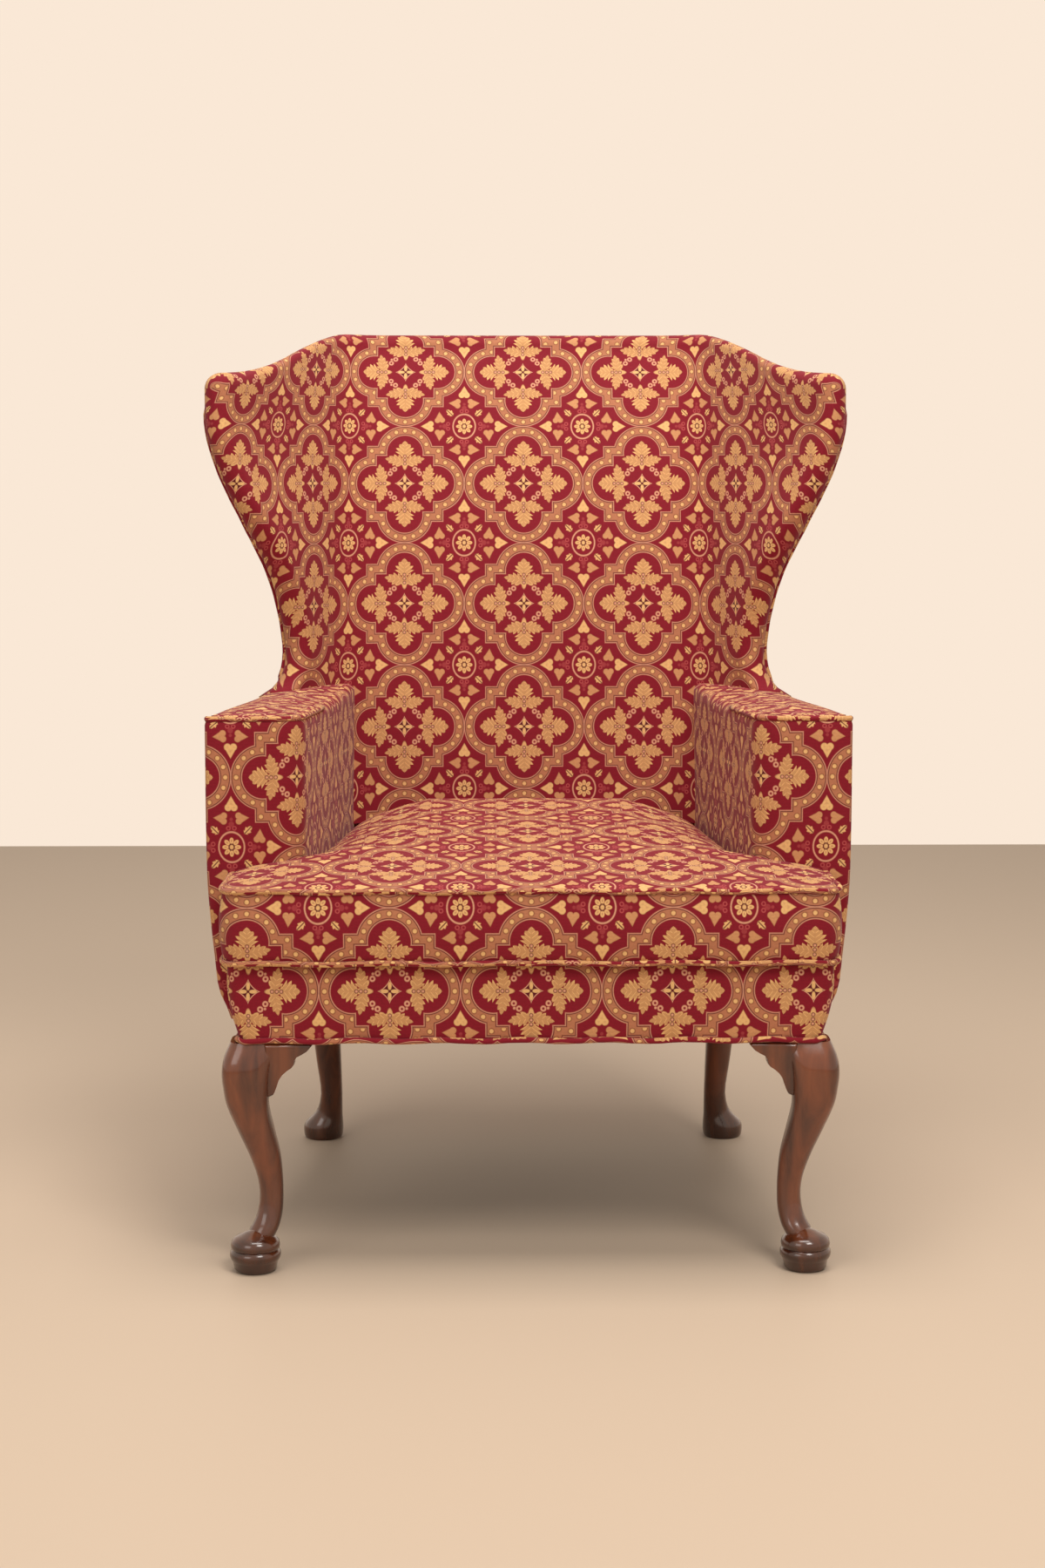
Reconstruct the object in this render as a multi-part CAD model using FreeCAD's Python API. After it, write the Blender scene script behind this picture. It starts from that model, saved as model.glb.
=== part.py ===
import FreeCAD, Part
import math
import os

from FreeCAD import Vector

os.makedirs("parts", exist_ok=True)

# Wingback armchair with a loose T-shaped seat cushion. Millimetres, +Z up, the front faces -Y.
# While it is built, y = 0 is the face of the front border; at the end every piece is moved so that
# the origin lies under the middle of the chair. Left and right are as seen by someone facing it.
# Right-hand pieces are modelled and the left-hand ones are their mirror images.

# Heights above the floor
RAIL_BOTTOM = 261.0
RAIL_TOP = 330.0
DECK_TOP = 346.0
ARM_TOP = 609.0
CREST_TOP = 1068.0

# Depths from the border's face: to the inside back at the seat, and on to the outside back
SEAT_DEPTH = 518.0
BACK_THICK = 87.0
SEAT_FRAME_DEPTH = SEAT_DEPTH + BACK_THICK

# Seat frame and front border
BORDER_HALF_TOP = 332.0
BORDER_HALF_BOTTOM = 319.0
BORDER_THICK = 6.0
BORDER_CORNER = 12.0
RAIL_THICK = 26.0
TENON_LENGTH = 20.0
TURN_UNDER = 10.0
TENON_THICK = 10.0
TENON_SHOULDER = 10.0
GLUE_GAP = 0.2
BLOCK_LEG = 62.0
BOLT_RADIUS = 3.0
WASHER_RADIUS = 8.0
BOLT_LENGTH = 58.0
REAR_BOLT_LENGTH = 44.0

# Front legs: the centre of each section stands in from the corner, along the diagonal
LEG_CORNER_X = 332.0
LEG_CORNER_Y = -4.0
FRONT_POST = 50.0
FRONT_POST_INSET = 18.0
FOOT_RADIUS = 28.5
FOOT_INSET = 26.0

# Back legs and posts
POST_WIDTH = 44.0
POST_DEPTH = 36.0
BACK_HALF = 296.0
POST_COVER = 6.0
RAKE_DEGREES = 9.5
BACK_FOOT_RADIUS = 26.5
BACK_FOOT_Y = SEAT_FRAME_DEPTH + 22.0

# Arms
ARM_SETBACK = 128.0
ARM_OUTER_FRONT = 367.0
ARM_INNER_FRONT = 258.0
ARM_INNER_BACK = 214.0
ARM_INNER_END = SEAT_DEPTH + 27.0
ARM_CORNER = 34.0
ARM_EDGE = 12.0
ARM_TOP_PAD = 9.0
ARM_FRONT_PAD = 6.0
ARM_SIDE_PAD = 12.0
ARM_RAIL_THICK = 22.0
STUMP_THICK = 28.0
BOARD_THICK = 22.0
ARM_WELT_ANGLE = 55.0
ARM_WELT_END = 300.0

# Inside back: a lean plus a roll towards the crest, both measured over BACK_RISE
BACK_START = 445.0
BACK_RISE = CREST_TOP - BACK_START - 28.0
BACK_LEAN = 0.0941 * BACK_RISE
BACK_ROLL = 0.1513 * BACK_RISE
BACK_FLAT_HALF = 165.0
BACK_BEND = 90.0

# Wings: the front edge as share of the height from arm top to crest, half width and distance
# behind the border's face
WING_NOSE = 18.0
WING_PLACES = [
    (0.0, 331.0, 402.0),
    (0.028, 312.0, 428.0),
    (0.09, 301.0, 441.0),
    (0.2, 304.0, 440.0),
    (0.33, 318.0, 421.0),
    (0.46, 344.0, 392.0),
    (0.59, 372.0, 377.0),
    (0.7, 387.5, 373.0),
    (0.776, 390.0, 374.5),
    (1.03, 390.0, 380.0),
]
WING_EDGE = [(ARM_TOP + share * (CREST_TOP - ARM_TOP), x, y) for share, x, y in WING_PLACES]
WING_FLARE_ROWS = 2
WING_RAIL_ROWS = 3
WING_CHORDS = 5

# Crest: flat, then an ogee down to the tops of the wings
CREST_FLAT_HALF = 240.0
CREST_PAD = 18.0
CREST_EDGE = 14.0
WING_TOP_DROP = 72.0
CREST_FOOT = 38.0
CREST_STEP = 15.0
WING_TOP_SLOPE = 0.13
CREST_TURNS = [90.0, 55.0, 55.0, 90.0]

# Cloth, padding and welts
COVER = 3.0
WELT_RADIUS = 3.0
CORD_SIDES = 8
ROD_SIDES = 12
TURNED_SIDES = 20
WEB_THICK = 1.2
WEB_WIDTH = 50.0
CLEARANCE = 0.3
FRAME_INSET = COVER + 1.0

# Loose cushion
CUSHION_OVERHANG = 9.0
CUSHION_EAR_HALF = 337.0
CUSHION_EAR_GAP = 4.0
CUSHION_SIDE_GAP = 4.0
CUSHION_BACK = SEAT_DEPTH - 18.0
CUSHION_BOXING = 80.0
CUSHION_CROWN = 20.0
CUSHION_SWELL = 1.5
CUSHION_LINING = 12.0
ZIP_HALF = 170.0
ZIP_WIDTH = 14.0
ZIP_THICK = 1.2
ZIP_DEPTH = 0.5

# Further than any piece reaches, for cutting tools
REACH = 2000.0


TAN_RAKE = math.tan(math.radians(RAKE_DEGREES))


def rear_y(z):
    """Outer face of the outside back at height z."""
    return SEAT_FRAME_DEPTH + (z - RAIL_BOTTOM) * TAN_RAKE


def inside_back_y(z):
    """Face of the inside back at height z."""
    t = (z - BACK_START) / BACK_RISE
    return SEAT_DEPTH + BACK_LEAN * t + BACK_ROLL * t ** 3


POST_REAR = POST_COVER
POST_FRONT = POST_REAR + POST_DEPTH
WEB_ROOM = 2 * WEB_THICK + CLEARANCE
PAD_REAR = POST_FRONT + WEB_ROOM
POST_OUTER_X = BACK_HALF - POST_COVER
POST_INNER_X = POST_OUTER_X - POST_WIDTH


def v(x, y, z):
    return Vector(x, y, z)


def segment(start, end):
    return Part.LineSegment(start, end).toShape()


def arc(start, middle, end):
    return Part.Arc(start, middle, end).toShape()


def polygon(points):
    return Part.makePolygon([v(*p) for p in points] + [v(*points[0])])


def prism(points, direction):
    return Part.Face(polygon(points)).extrude(v(*direction))


def plan_prism(points, z0, z1):
    """Upright prism over plan points (x, y)."""
    return prism([(x, y, z0) for x, y in points], (0, 0, z1 - z0))


def box(x0, x1, y0, y1, z0, z1):
    return Part.makeBox(x1 - x0, y1 - y0, z1 - z0, v(x0, y0, z0))


def raked_board(x0, x1, near, far, z0, z1):
    """Board that lies in the rake of the back; near and far are measured in from its outer face."""
    profile = [
        (x0, rear_y(z0) - far, z0),
        (x0, rear_y(z0) - near, z0),
        (x0, rear_y(z1) - near, z1),
        (x0, rear_y(z1) - far, z1),
    ]
    return prism(profile, (x1 - x0, 0, 0))


def mirrored(shape):
    return shape.mirror(v(0, 0, 0), v(1, 0, 0))


def rounded_outline(corners, z):
    """Closed wire in plan through corners (x, y, radius), each turned by a tangent arc."""
    count = len(corners)
    starts = []
    ends = []
    middles = []
    for i in range(count):
        x, y, radius = corners[i]
        here = v(x, y, z)
        back = v(corners[i - 1][0], corners[i - 1][1], z).sub(here).normalize()
        ahead = v(corners[(i + 1) % count][0], corners[(i + 1) % count][1], z).sub(here).normalize()
        half = back.getAngle(ahead) / 2
        reach = radius / math.tan(half)
        inward = back.add(ahead).normalize()
        starts.append(here.add(back.multiply(reach)))
        ends.append(here.add(ahead.multiply(reach)))
        middles.append(here.add(inward.multiply(radius / math.sin(half) - radius)))
    edges = []
    for i in range(count):
        edges.append(arc(starts[i], middles[i], ends[i]))
        edges.append(segment(ends[i], starts[(i + 1) % count]))
    return Part.Wire(edges)


def turned_path(points, radii):
    """Open wire through points, straight runs joined by tangent arcs of the given radii."""
    edges = []
    here = points[0]
    for i in range(1, len(points) - 1):
        corner = points[i]
        back = points[i - 1].sub(corner).normalize()
        ahead = points[i + 1].sub(corner).normalize()
        half = back.getAngle(ahead) / 2
        radius = radii[i - 1]
        reach = radius / math.tan(half)
        inward = back.add(ahead).normalize()
        start = corner.add(Vector(back).multiply(reach))
        end = corner.add(Vector(ahead).multiply(reach))
        middle = corner.add(inward.multiply(radius / math.sin(half) - radius))
        edges.append(segment(here, start))
        edges.append(arc(start, middle, end))
        here = end
    edges.append(segment(here, points[-1]))
    return Part.Wire(edges)


def faceted(wire, chords):
    """The same outline with each arc as a few chords, which keeps lofted and swept faces few."""
    points = []
    for edge in wire.OrderedEdges:
        count = 2 if edge.Curve.TypeId == "Part::GeomLine" else chords + 1
        points += edge.discretize(count)[:-1]
    if wire.isClosed():
        return Part.makePolygon(points + [points[0]])
    return Part.makePolygon(points + [wire.OrderedVertexes[-1].Point])


def rod(radius, length, base, direction):
    """Many-sided rod whose flats lie at radius."""
    side = direction.cross(v(0, 0, 1)).normalize()
    reach = radius / math.cos(math.pi / ROD_SIDES)
    ring = []
    for k in range(ROD_SIDES + 1):
        angle = 2 * math.pi * k / ROD_SIDES
        across = Vector(side).multiply(reach * math.cos(angle))
        ring.append(base.add(across).add(v(0, 0, reach * math.sin(angle))))
    return Part.Face(Part.makePolygon(ring)).extrude(Vector(direction).multiply(length))


def tube(path, radius):
    """Cord along a wire, with a many-sided section."""
    path = faceted(path, 5)
    first = path.OrderedEdges[0]
    start = first.valueAt(first.FirstParameter)
    direction = first.tangentAt(first.FirstParameter)
    if first.Orientation == "Reversed":
        start = first.valueAt(first.LastParameter)
        direction = first.tangentAt(first.LastParameter).multiply(-1)
    side = direction.cross(v(0, 0, 1))
    if side.Length < 0.5:
        side = v(1, 0, 0)
    side.normalize()
    up = direction.cross(side).normalize()
    ring = []
    for k in range(CORD_SIDES + 1):
        angle = 2 * math.pi * k / CORD_SIDES
        across = Vector(side).multiply(radius * math.cos(angle))
        ring.append(start.add(across).add(Vector(up).multiply(radius * math.sin(angle))))
    return path.makePipeShell([Part.makePolygon(ring)], True, False, 1)


# Crest outline

def crest_outline(drop):
    """Top line of back and wings seen from the front, from right to left, lowered by drop."""
    top = CREST_TOP - drop
    wing_top = CREST_TOP - WING_TOP_DROP - drop
    foot_x = BACK_HALF + CREST_FOOT
    right = [
        v(REACH, 0, wing_top + CREST_STEP - WING_TOP_SLOPE * (REACH - foot_x)),
        v(foot_x, 0, wing_top + CREST_STEP),
        v(CREST_FLAT_HALF + CREST_PAD, 0, top),
    ]
    left = [v(-p.x, 0, p.z) for p in reversed(right)]
    return turned_path(right + left, CREST_TURNS)


def crest_tool(drop):
    """Everything under the crest outline, as a deep prism."""
    line = crest_outline(drop)
    first = line.OrderedVertexes[0].Point
    last = line.OrderedVertexes[-1].Point
    side = Part.makePolygon([last, v(last.x, 0, 0), v(first.x, 0, 0), first])
    face = Part.Face(Part.Wire(line.Edges + side.Edges))
    return face.extrude(v(0, REACH, 0))


# Wooden frame

LEG_SECTIONS = [
    # share of the leg height, centre inset from the corner, half width, corner share
    (0.115, 29.0, 13.0, 0.9),
    (0.169, 34.5, 16.0, 0.9),
    (0.207, 39.0, 14.8, 0.9),
    (0.253, 42.0, 13.8, 0.9),
    (0.322, 43.2, 13.2, 0.88),
    (0.398, 41.8, 14.2, 0.85),
    (0.498, 36.8, 17.2, 0.8),
    (0.613, 28.2, 20.0, 0.72),
    (0.728, 20.2, 22.8, 0.66),
    (0.805, 19.0, 25.2, 0.62),
    (0.874, 19.4, 27.0, 0.6),
    (0.935, 22.8, 28.0, 0.55),
    (1.0, 28.0, 26.0, 0.4),
]
KNEE_FACE_X = LEG_CORNER_X - 52.0
KNEE_FACE_Y = LEG_CORNER_X + LEG_CORNER_Y - KNEE_FACE_X
KNEE_FACE_DROP = 55.0
FRONT_POST_X1 = LEG_CORNER_X - FRONT_POST_INSET
FRONT_POST_X0 = FRONT_POST_X1 - FRONT_POST
FRONT_POST_Y0 = BORDER_THICK
FRONT_POST_Y1 = FRONT_POST_Y0 + FRONT_POST


def square_section(cx, cy, half, share, z):
    radius = half * share
    corners = [
        (cx - half, cy - half, radius),
        (cx + half, cy - half, radius),
        (cx + half, cy + half, radius),
        (cx - half, cy + half, radius),
    ]
    return rounded_outline(corners, z)


def turned(cx, cy, edges):
    """Many-sided solid about an upright axis; the profile runs up from the floor in the XZ plane."""
    rings = []
    for spot in faceted(Part.Wire(edges), 3).OrderedVertexes:
        ring = []
        for k in range(TURNED_SIDES + 1):
            angle = 2 * math.pi * k / TURNED_SIDES
            ring.append(v(cx + spot.X * math.cos(angle), cy + spot.X * math.sin(angle), spot.Z))
        rings.append(Part.makePolygon(ring))
    return Part.makeLoft(rings, True, True)


def front_foot(cx, cy):
    """Pad foot: base drawn in at the floor, a round ring, a groove, and a top that rises to the ankle."""
    r = FOOT_RADIUS
    ring = 13.0
    groove = 25.0
    base = v(r * 0.7, 0, 0)
    step = v(r * 0.88, 0, ring - 2)
    ring_low = v(r * 0.93, 0, ring)
    ring_high = v(r * 0.94, 0, groove - 1)
    waist = v(r * 0.9, 0, groove)
    pad_low = v(r * 0.94, 0, groove + 1)
    pad_high = v(r * 0.8, 0, 38)
    peak = v(r * 0.15, 0, 47)
    edges = [
        arc(base, v(r * 0.83, 0, 3.5), step),
        segment(step, ring_low),
        arc(ring_low, v(r, 0, (ring + groove) / 2), ring_high),
        segment(ring_high, waist),
        segment(waist, pad_low),
        arc(pad_low, v(r * 0.96, 0, 32), pad_high),
        arc(pad_high, v(r * 0.5, 0, 41.5), peak),
    ]
    return turned(cx, cy, edges)


def back_foot(cx, cy):
    r = BACK_FOOT_RADIUS
    base = v(r * 0.9, 0, 0)
    waist = v(r, 0, 12)
    edges = [arc(base, v(r * 0.97, 0, 5), waist), arc(waist, v(r * 0.9, 0, 23), v(r * 0.6, 0, 28))]
    return turned(cx, cy, edges)


def front_leg():
    wires = []
    for rise, inset, half, share in LEG_SECTIONS:
        z = rise * RAIL_BOTTOM
        section = square_section(LEG_CORNER_X - inset, LEG_CORNER_Y + inset, half, share, z)
        wires.append(faceted(section, 3))
    leg = Part.makeLoft(wires, True, True)
    knee = RAIL_BOTTOM - KNEE_FACE_DROP
    knee_room = box(0, KNEE_FACE_X, -REACH, REACH, knee, RAIL_BOTTOM + 1)
    side_room = box(0, REACH, KNEE_FACE_Y, REACH, knee, RAIL_BOTTOM + 1)
    leg = leg.cut(knee_room).cut(side_room)
    foot = front_foot(LEG_CORNER_X - FOOT_INSET, LEG_CORNER_Y + FOOT_INSET)
    post = box(FRONT_POST_X0, FRONT_POST_X1, FRONT_POST_Y0, FRONT_POST_Y1, RAIL_BOTTOM, RAIL_TOP)
    return leg.fuse(foot).fuse(post).removeSplitter()


def knee_block(length):
    """Bracket beside the knee: a scrolled outline in the XZ plane, drawn towards -X from x = 0."""
    tip = v(-length, 0, RAIL_BOTTOM)
    cusp = v(-length * 0.3, 0, RAIL_BOTTOM - 31)
    foot = v(0, 0, RAIL_BOTTOM - 46)
    edges = [
        segment(v(0, 0, RAIL_BOTTOM), tip),
        arc(tip, v(-length * 0.6, 0, RAIL_BOTTOM - 18), cusp),
        arc(cusp, v(-length * 0.1, 0, RAIL_BOTTOM - 36), foot),
        segment(foot, v(0, 0, RAIL_BOTTOM)),
    ]
    return Part.Face(Part.Wire(edges))


KNEE_BLOCK_LENGTH = 40.0
KNEE_BLOCK_THICK = 24.0


def front_knee_block():
    face = knee_block(KNEE_BLOCK_LENGTH)
    face.translate(v(KNEE_FACE_X, 0, 0))
    return face.extrude(v(0, KNEE_BLOCK_THICK, 0))


def side_knee_block():
    face = knee_block(KNEE_BLOCK_LENGTH)
    block = face.extrude(v(0, KNEE_BLOCK_THICK, 0))
    block.rotate(v(0, 0, 0), v(0, 0, 1), -90)
    block.translate(v(BORDER_HALF_BOTTOM - KNEE_BLOCK_THICK, KNEE_FACE_Y, 0))
    return block


def back_post():
    """Back leg and raked back post, sawn from one board."""
    foot_x = POST_INNER_X + BACK_FOOT_RADIUS - 4
    foot_y = BACK_FOOT_Y - SEAT_FRAME_DEPTH
    rows = [
        # share of the leg height, inner x, outer x, front and rear behind the frame, corner share
        (0.06, foot_x - 15, foot_x + 15, foot_y - 15, foot_y + 15, 0.85),
        (0.14, POST_INNER_X - 4, POST_INNER_X + 27, 1, 32, 0.8),
        (0.25, POST_INNER_X - 4, POST_INNER_X + 24.5, -8, 21, 0.6),
        (0.43, POST_INNER_X - 3.5, POST_INNER_X + 29.5, -20, 13, 0.4),
        (0.69, POST_INNER_X - 2, POST_INNER_X + 36, -32, 4, 0.2),
        (1.0, POST_INNER_X, POST_OUTER_X, -POST_FRONT, -POST_REAR, 0.1),
    ]
    wires = []
    for rise, x0, x1, front, rear, share in rows:
        z = rise * RAIL_BOTTOM
        y0 = SEAT_FRAME_DEPTH + front
        y1 = SEAT_FRAME_DEPTH + rear
        radius = share * min(x1 - x0, y1 - y0) / 2
        corners = [(x0, y0, radius), (x1, y0, radius), (x1, y1, radius), (x0, y1, radius)]
        wires.append(faceted(rounded_outline(corners, z), 2))
    leg = Part.makeLoft(wires, True, True)
    foot = back_foot(foot_x, BACK_FOOT_Y)
    post = raked_board(POST_INNER_X, POST_OUTER_X, POST_REAR, POST_FRONT, RAIL_BOTTOM, CREST_TOP)
    return leg.fuse(foot).fuse(post.common(crest_tool(CREST_PAD)))


def side_rail_x(y, inset):
    """Outer face of the side rail, moved inwards by inset."""
    front = FRONT_POST_X1 - 8
    back = POST_OUTER_X - 8
    y0 = FRONT_POST_Y1
    y1 = rear_y(RAIL_BOTTOM) - POST_FRONT
    return front + (back - front) * (y - y0) / (y1 - y0) - inset


def side_rail_prism(y0, y1, near, far, z0, z1):
    points = [
        (side_rail_x(y0, near), y0),
        (side_rail_x(y0, far), y0),
        (side_rail_x(y1, far), y1),
        (side_rail_x(y1, near), y1),
    ]
    return plan_prism(points, z0, z1)


def seat_rails():
    """Front, side and back rails with tenons, and the mortises that take them."""
    z0 = RAIL_BOTTOM + 2
    z1 = RAIL_TOP
    tz0 = z0 + TENON_SHOULDER
    tz1 = z1 - TENON_SHOULDER
    middle = FRONT_POST_Y0 + RAIL_THICK / 2 + 1
    front_y0 = middle - RAIL_THICK / 2
    front_y1 = middle + RAIL_THICK / 2
    rail = box(-FRONT_POST_X0, FRONT_POST_X0, front_y0, front_y1, z0, z1)
    reach = FRONT_POST_X0 + TENON_LENGTH
    tenon = box(-reach, reach, middle - TENON_THICK / 2, middle + TENON_THICK / 2, tz0, tz1)
    front = rail.fuse(tenon)
    front_mortise = box(
        FRONT_POST_X0 - 1, reach + GLUE_GAP,
        middle - TENON_THICK / 2 - GLUE_GAP, middle + TENON_THICK / 2 + GLUE_GAP,
        tz0 - GLUE_GAP, tz1 + GLUE_GAP,
    )

    y0 = FRONT_POST_Y1
    y1 = rear_y(z0) - POST_FRONT
    y_top = rear_y(z1) - POST_FRONT
    near = (RAIL_THICK - TENON_THICK) / 2
    far = near + TENON_THICK
    body = side_rail_prism(y0, y_top, 0, RAIL_THICK, z0, z1)
    tenon = side_rail_prism(y0 - TENON_LENGTH, y1 + TENON_LENGTH, near, far, tz0, tz1)
    post_face = raked_board(POST_INNER_X - 20, POST_OUTER_X + 20, -60, POST_FRONT, z0 - 5, z1 + 5)
    side = body.cut(post_face).fuse(tenon)
    gap = GLUE_GAP
    side_mortise = side_rail_prism(
        y0 - TENON_LENGTH - gap, y1 + TENON_LENGTH + gap, near - gap, far + gap, tz0 - gap, tz1 + gap
    )

    near = POST_REAR + 5
    far = near + RAIL_THICK
    back = raked_board(-POST_INNER_X, POST_INNER_X, near, far, z0, z1)
    reach = POST_INNER_X + TENON_LENGTH
    tenon_near = near + (RAIL_THICK - TENON_THICK) / 2 - 6
    tenon_far = tenon_near + TENON_THICK
    back = back.fuse(raked_board(-reach, reach, tenon_near, tenon_far, tz0, tz1))
    back_mortise = raked_board(
        POST_INNER_X - 1, reach + gap, tenon_near - gap, tenon_far + gap, tz0 - gap, tz1 + gap
    )
    return front, side, back, front_mortise, side_mortise, back_mortise


def corner_blocks(post, back_rail):
    """Blocks glued in the corners of the seat frame."""
    z0 = RAIL_BOTTOM + 20
    z1 = RAIL_TOP - 6
    front_rail_back = FRONT_POST_Y0 + 1 + RAIL_THICK
    far_y = FRONT_POST_Y1 + BLOCK_LEG
    front = plan_prism(
        [
            (FRONT_POST_X0 - BLOCK_LEG, front_rail_back),
            (FRONT_POST_X0, front_rail_back),
            (FRONT_POST_X0, FRONT_POST_Y1),
            (side_rail_x(FRONT_POST_Y1, RAIL_THICK), FRONT_POST_Y1),
            (side_rail_x(far_y, RAIL_THICK), far_y),
        ],
        z0, z1,
    )
    rail_front = rear_y(z0) - POST_REAR - RAIL_THICK
    near_y = rail_front - BLOCK_LEG - 20
    far_y = rail_front + 20
    rear = plan_prism(
        [
            (side_rail_x(near_y, RAIL_THICK), near_y),
            (side_rail_x(far_y, RAIL_THICK), far_y),
            (POST_INNER_X - BLOCK_LEG, far_y),
            (POST_INNER_X - BLOCK_LEG, rail_front - 8),
        ],
        z0, z1,
    )
    return front, rear.cut(post).cut(back_rail)


def bolt(seat, direction, length):
    """Hexagon bolt with a washer: it points along direction, and its washer lies on seat."""
    shank = rod(BOLT_RADIUS, length, seat, direction)
    outward = Vector(direction).multiply(-1)
    washer = rod(WASHER_RADIUS, 1.5, seat, outward)
    centre = seat.add(Vector(outward).multiply(1.5))
    side = outward.cross(v(0, 0, 1)).normalize()
    ring = []
    for k in range(7):
        angle = math.radians(60 * k)
        ring.append(centre.add(Vector(side).multiply(6 * math.cos(angle))).add(v(0, 0, 6 * math.sin(angle))))
    head = Part.Face(Part.makePolygon(ring)).extrude(Vector(outward).multiply(5))
    return shank.fuse(washer).fuse(head)


def bolt_room(seat, direction, length):
    """Hole for the shank and a flat seat for the washer."""
    outward = Vector(direction).multiply(-1)
    hole = rod(BOLT_RADIUS + GLUE_GAP, length + 1, seat, direction)
    return hole.fuse(rod(WASHER_RADIUS + 1, 60, seat, outward))


def arm_outer_x(y):
    back_y = rear_y(ARM_TOP)
    return ARM_OUTER_FRONT + (BACK_HALF - ARM_OUTER_FRONT) * (y - ARM_SETBACK) / (back_y - ARM_SETBACK)


def arm_inner_x(y):
    slope = (ARM_INNER_BACK - ARM_INNER_FRONT) / (ARM_INNER_END - ARM_SETBACK)
    return ARM_INNER_FRONT + slope * (y - ARM_SETBACK)


BELLY = [
    (ARM_OUTER_FRONT - 26, RAIL_BOTTOM),
    (ARM_OUTER_FRONT - 15, RAIL_BOTTOM + 27),
    (ARM_OUTER_FRONT - 8, RAIL_TOP),
    (ARM_OUTER_FRONT, RAIL_TOP + 100),
]
STUMP_Y0 = ARM_SETBACK + ARM_FRONT_PAD
STUMP_Y1 = STUMP_Y0 + STUMP_THICK
ARM_RAIL_Z1 = ARM_TOP - ARM_TOP_PAD
ARM_RAIL_Z0 = ARM_RAIL_Z1 - ARM_RAIL_THICK


def belly_face(offset, top):
    """Outline of the arm front in the XZ plane: straight inside, bellied outside."""
    curve = Part.BSplineCurve()
    curve.interpolate([v(x - offset, 0, z) for x, z in BELLY])
    edges = [
        curve.toShape(),
        segment(v(ARM_OUTER_FRONT - offset, 0, BELLY[-1][1]), v(ARM_OUTER_FRONT - offset, 0, top)),
    ]
    inner = ARM_INNER_BACK - 60
    low = BELLY[0][1]
    edges.append(segment(v(ARM_OUTER_FRONT - offset, 0, top), v(inner, 0, top)))
    edges.append(segment(v(inner, 0, top), v(inner, 0, low)))
    edges.append(segment(v(inner, 0, low), v(BELLY[0][0] - offset, 0, low)))
    return Part.Face(Part.Wire(edges))


def arm_stump():
    """Front post of the arm, lapped over the side rail and sawn to the belly."""
    face = belly_face(0.0, ARM_RAIL_Z0)
    face.translate(v(0, STUMP_Y0, 0))
    board = face.extrude(v(0, STUMP_THICK, 0))
    board = board.cut(box(0, ARM_INNER_FRONT + ARM_SIDE_PAD, 0, REACH, 0, ARM_TOP))
    board = board.cut(side_rail_prism(STUMP_Y0 - 60, STUMP_Y1 + 60, 0, ARM_INNER_FRONT, 0, RAIL_TOP))
    board = board.cut(box(0, REACH, 0, REACH, 0, RAIL_BOTTOM + 2))
    return board.cut(outside_panel(-60.0, FRAME_INSET, STUMP_Y0 - 20))


def arm_rail(post):
    y1 = rear_y(ARM_RAIL_Z1) - POST_FRONT + 8
    points = [
        (ARM_INNER_FRONT + ARM_SIDE_PAD, STUMP_Y0),
        (arm_outer_x(STUMP_Y0) - FRAME_INSET, STUMP_Y0),
        (arm_outer_x(y1) - FRAME_INSET, y1),
        (POST_INNER_X, y1),
    ]
    return plan_prism(points, ARM_RAIL_Z0, ARM_RAIL_Z1).cut(post)


def arm_tack_rail(post):
    z0 = DECK_TOP + 49
    z1 = z0 + 40
    y1 = rear_y(z1) - POST_FRONT + 8
    inner = ARM_INNER_FRONT + ARM_SIDE_PAD
    points = [
        (inner, STUMP_Y1),
        (inner + BOARD_THICK, STUMP_Y1),
        (POST_INNER_X + BOARD_THICK, y1),
        (POST_INNER_X, y1),
    ]
    return plan_prism(points, z0, z1).cut(post)


# Wings

def rotate_plan(vector, degrees):
    angle = math.radians(degrees)
    return v(
        vector.x * math.cos(angle) - vector.y * math.sin(angle),
        vector.x * math.sin(angle) + vector.y * math.cos(angle),
        0,
    )


def wing_plan(z, edge_x, edge_y):
    """Tangent points of the wing's section at height z: bend, straight, nose, outer line."""
    nose = v(edge_x - WING_NOSE, edge_y + WING_NOSE, z)
    face_y = inside_back_y(z)
    bend = v(BACK_FLAT_HALF, face_y - BACK_BEND, z)
    across = nose.sub(bend)
    spread = math.degrees(math.acos((BACK_BEND + WING_NOSE) / across.Length))
    normal = rotate_plan(Vector(across).normalize(), spread)
    corner = v(BACK_HALF, rear_y(z), z)
    away = corner.sub(nose)
    spread = math.degrees(math.acos(WING_NOSE / away.Length))
    outward = rotate_plan(Vector(away).normalize(), -spread)
    return {
        "nose": nose,
        "bend": bend,
        "normal": normal,
        "outward": outward,
        "corner": corner,
        "bend_end": bend.add(Vector(normal).multiply(BACK_BEND)),
        "straight_end": nose.sub(Vector(normal).multiply(WING_NOSE)),
        "outer": nose.add(Vector(outward).multiply(WING_NOSE)),
    }


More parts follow.
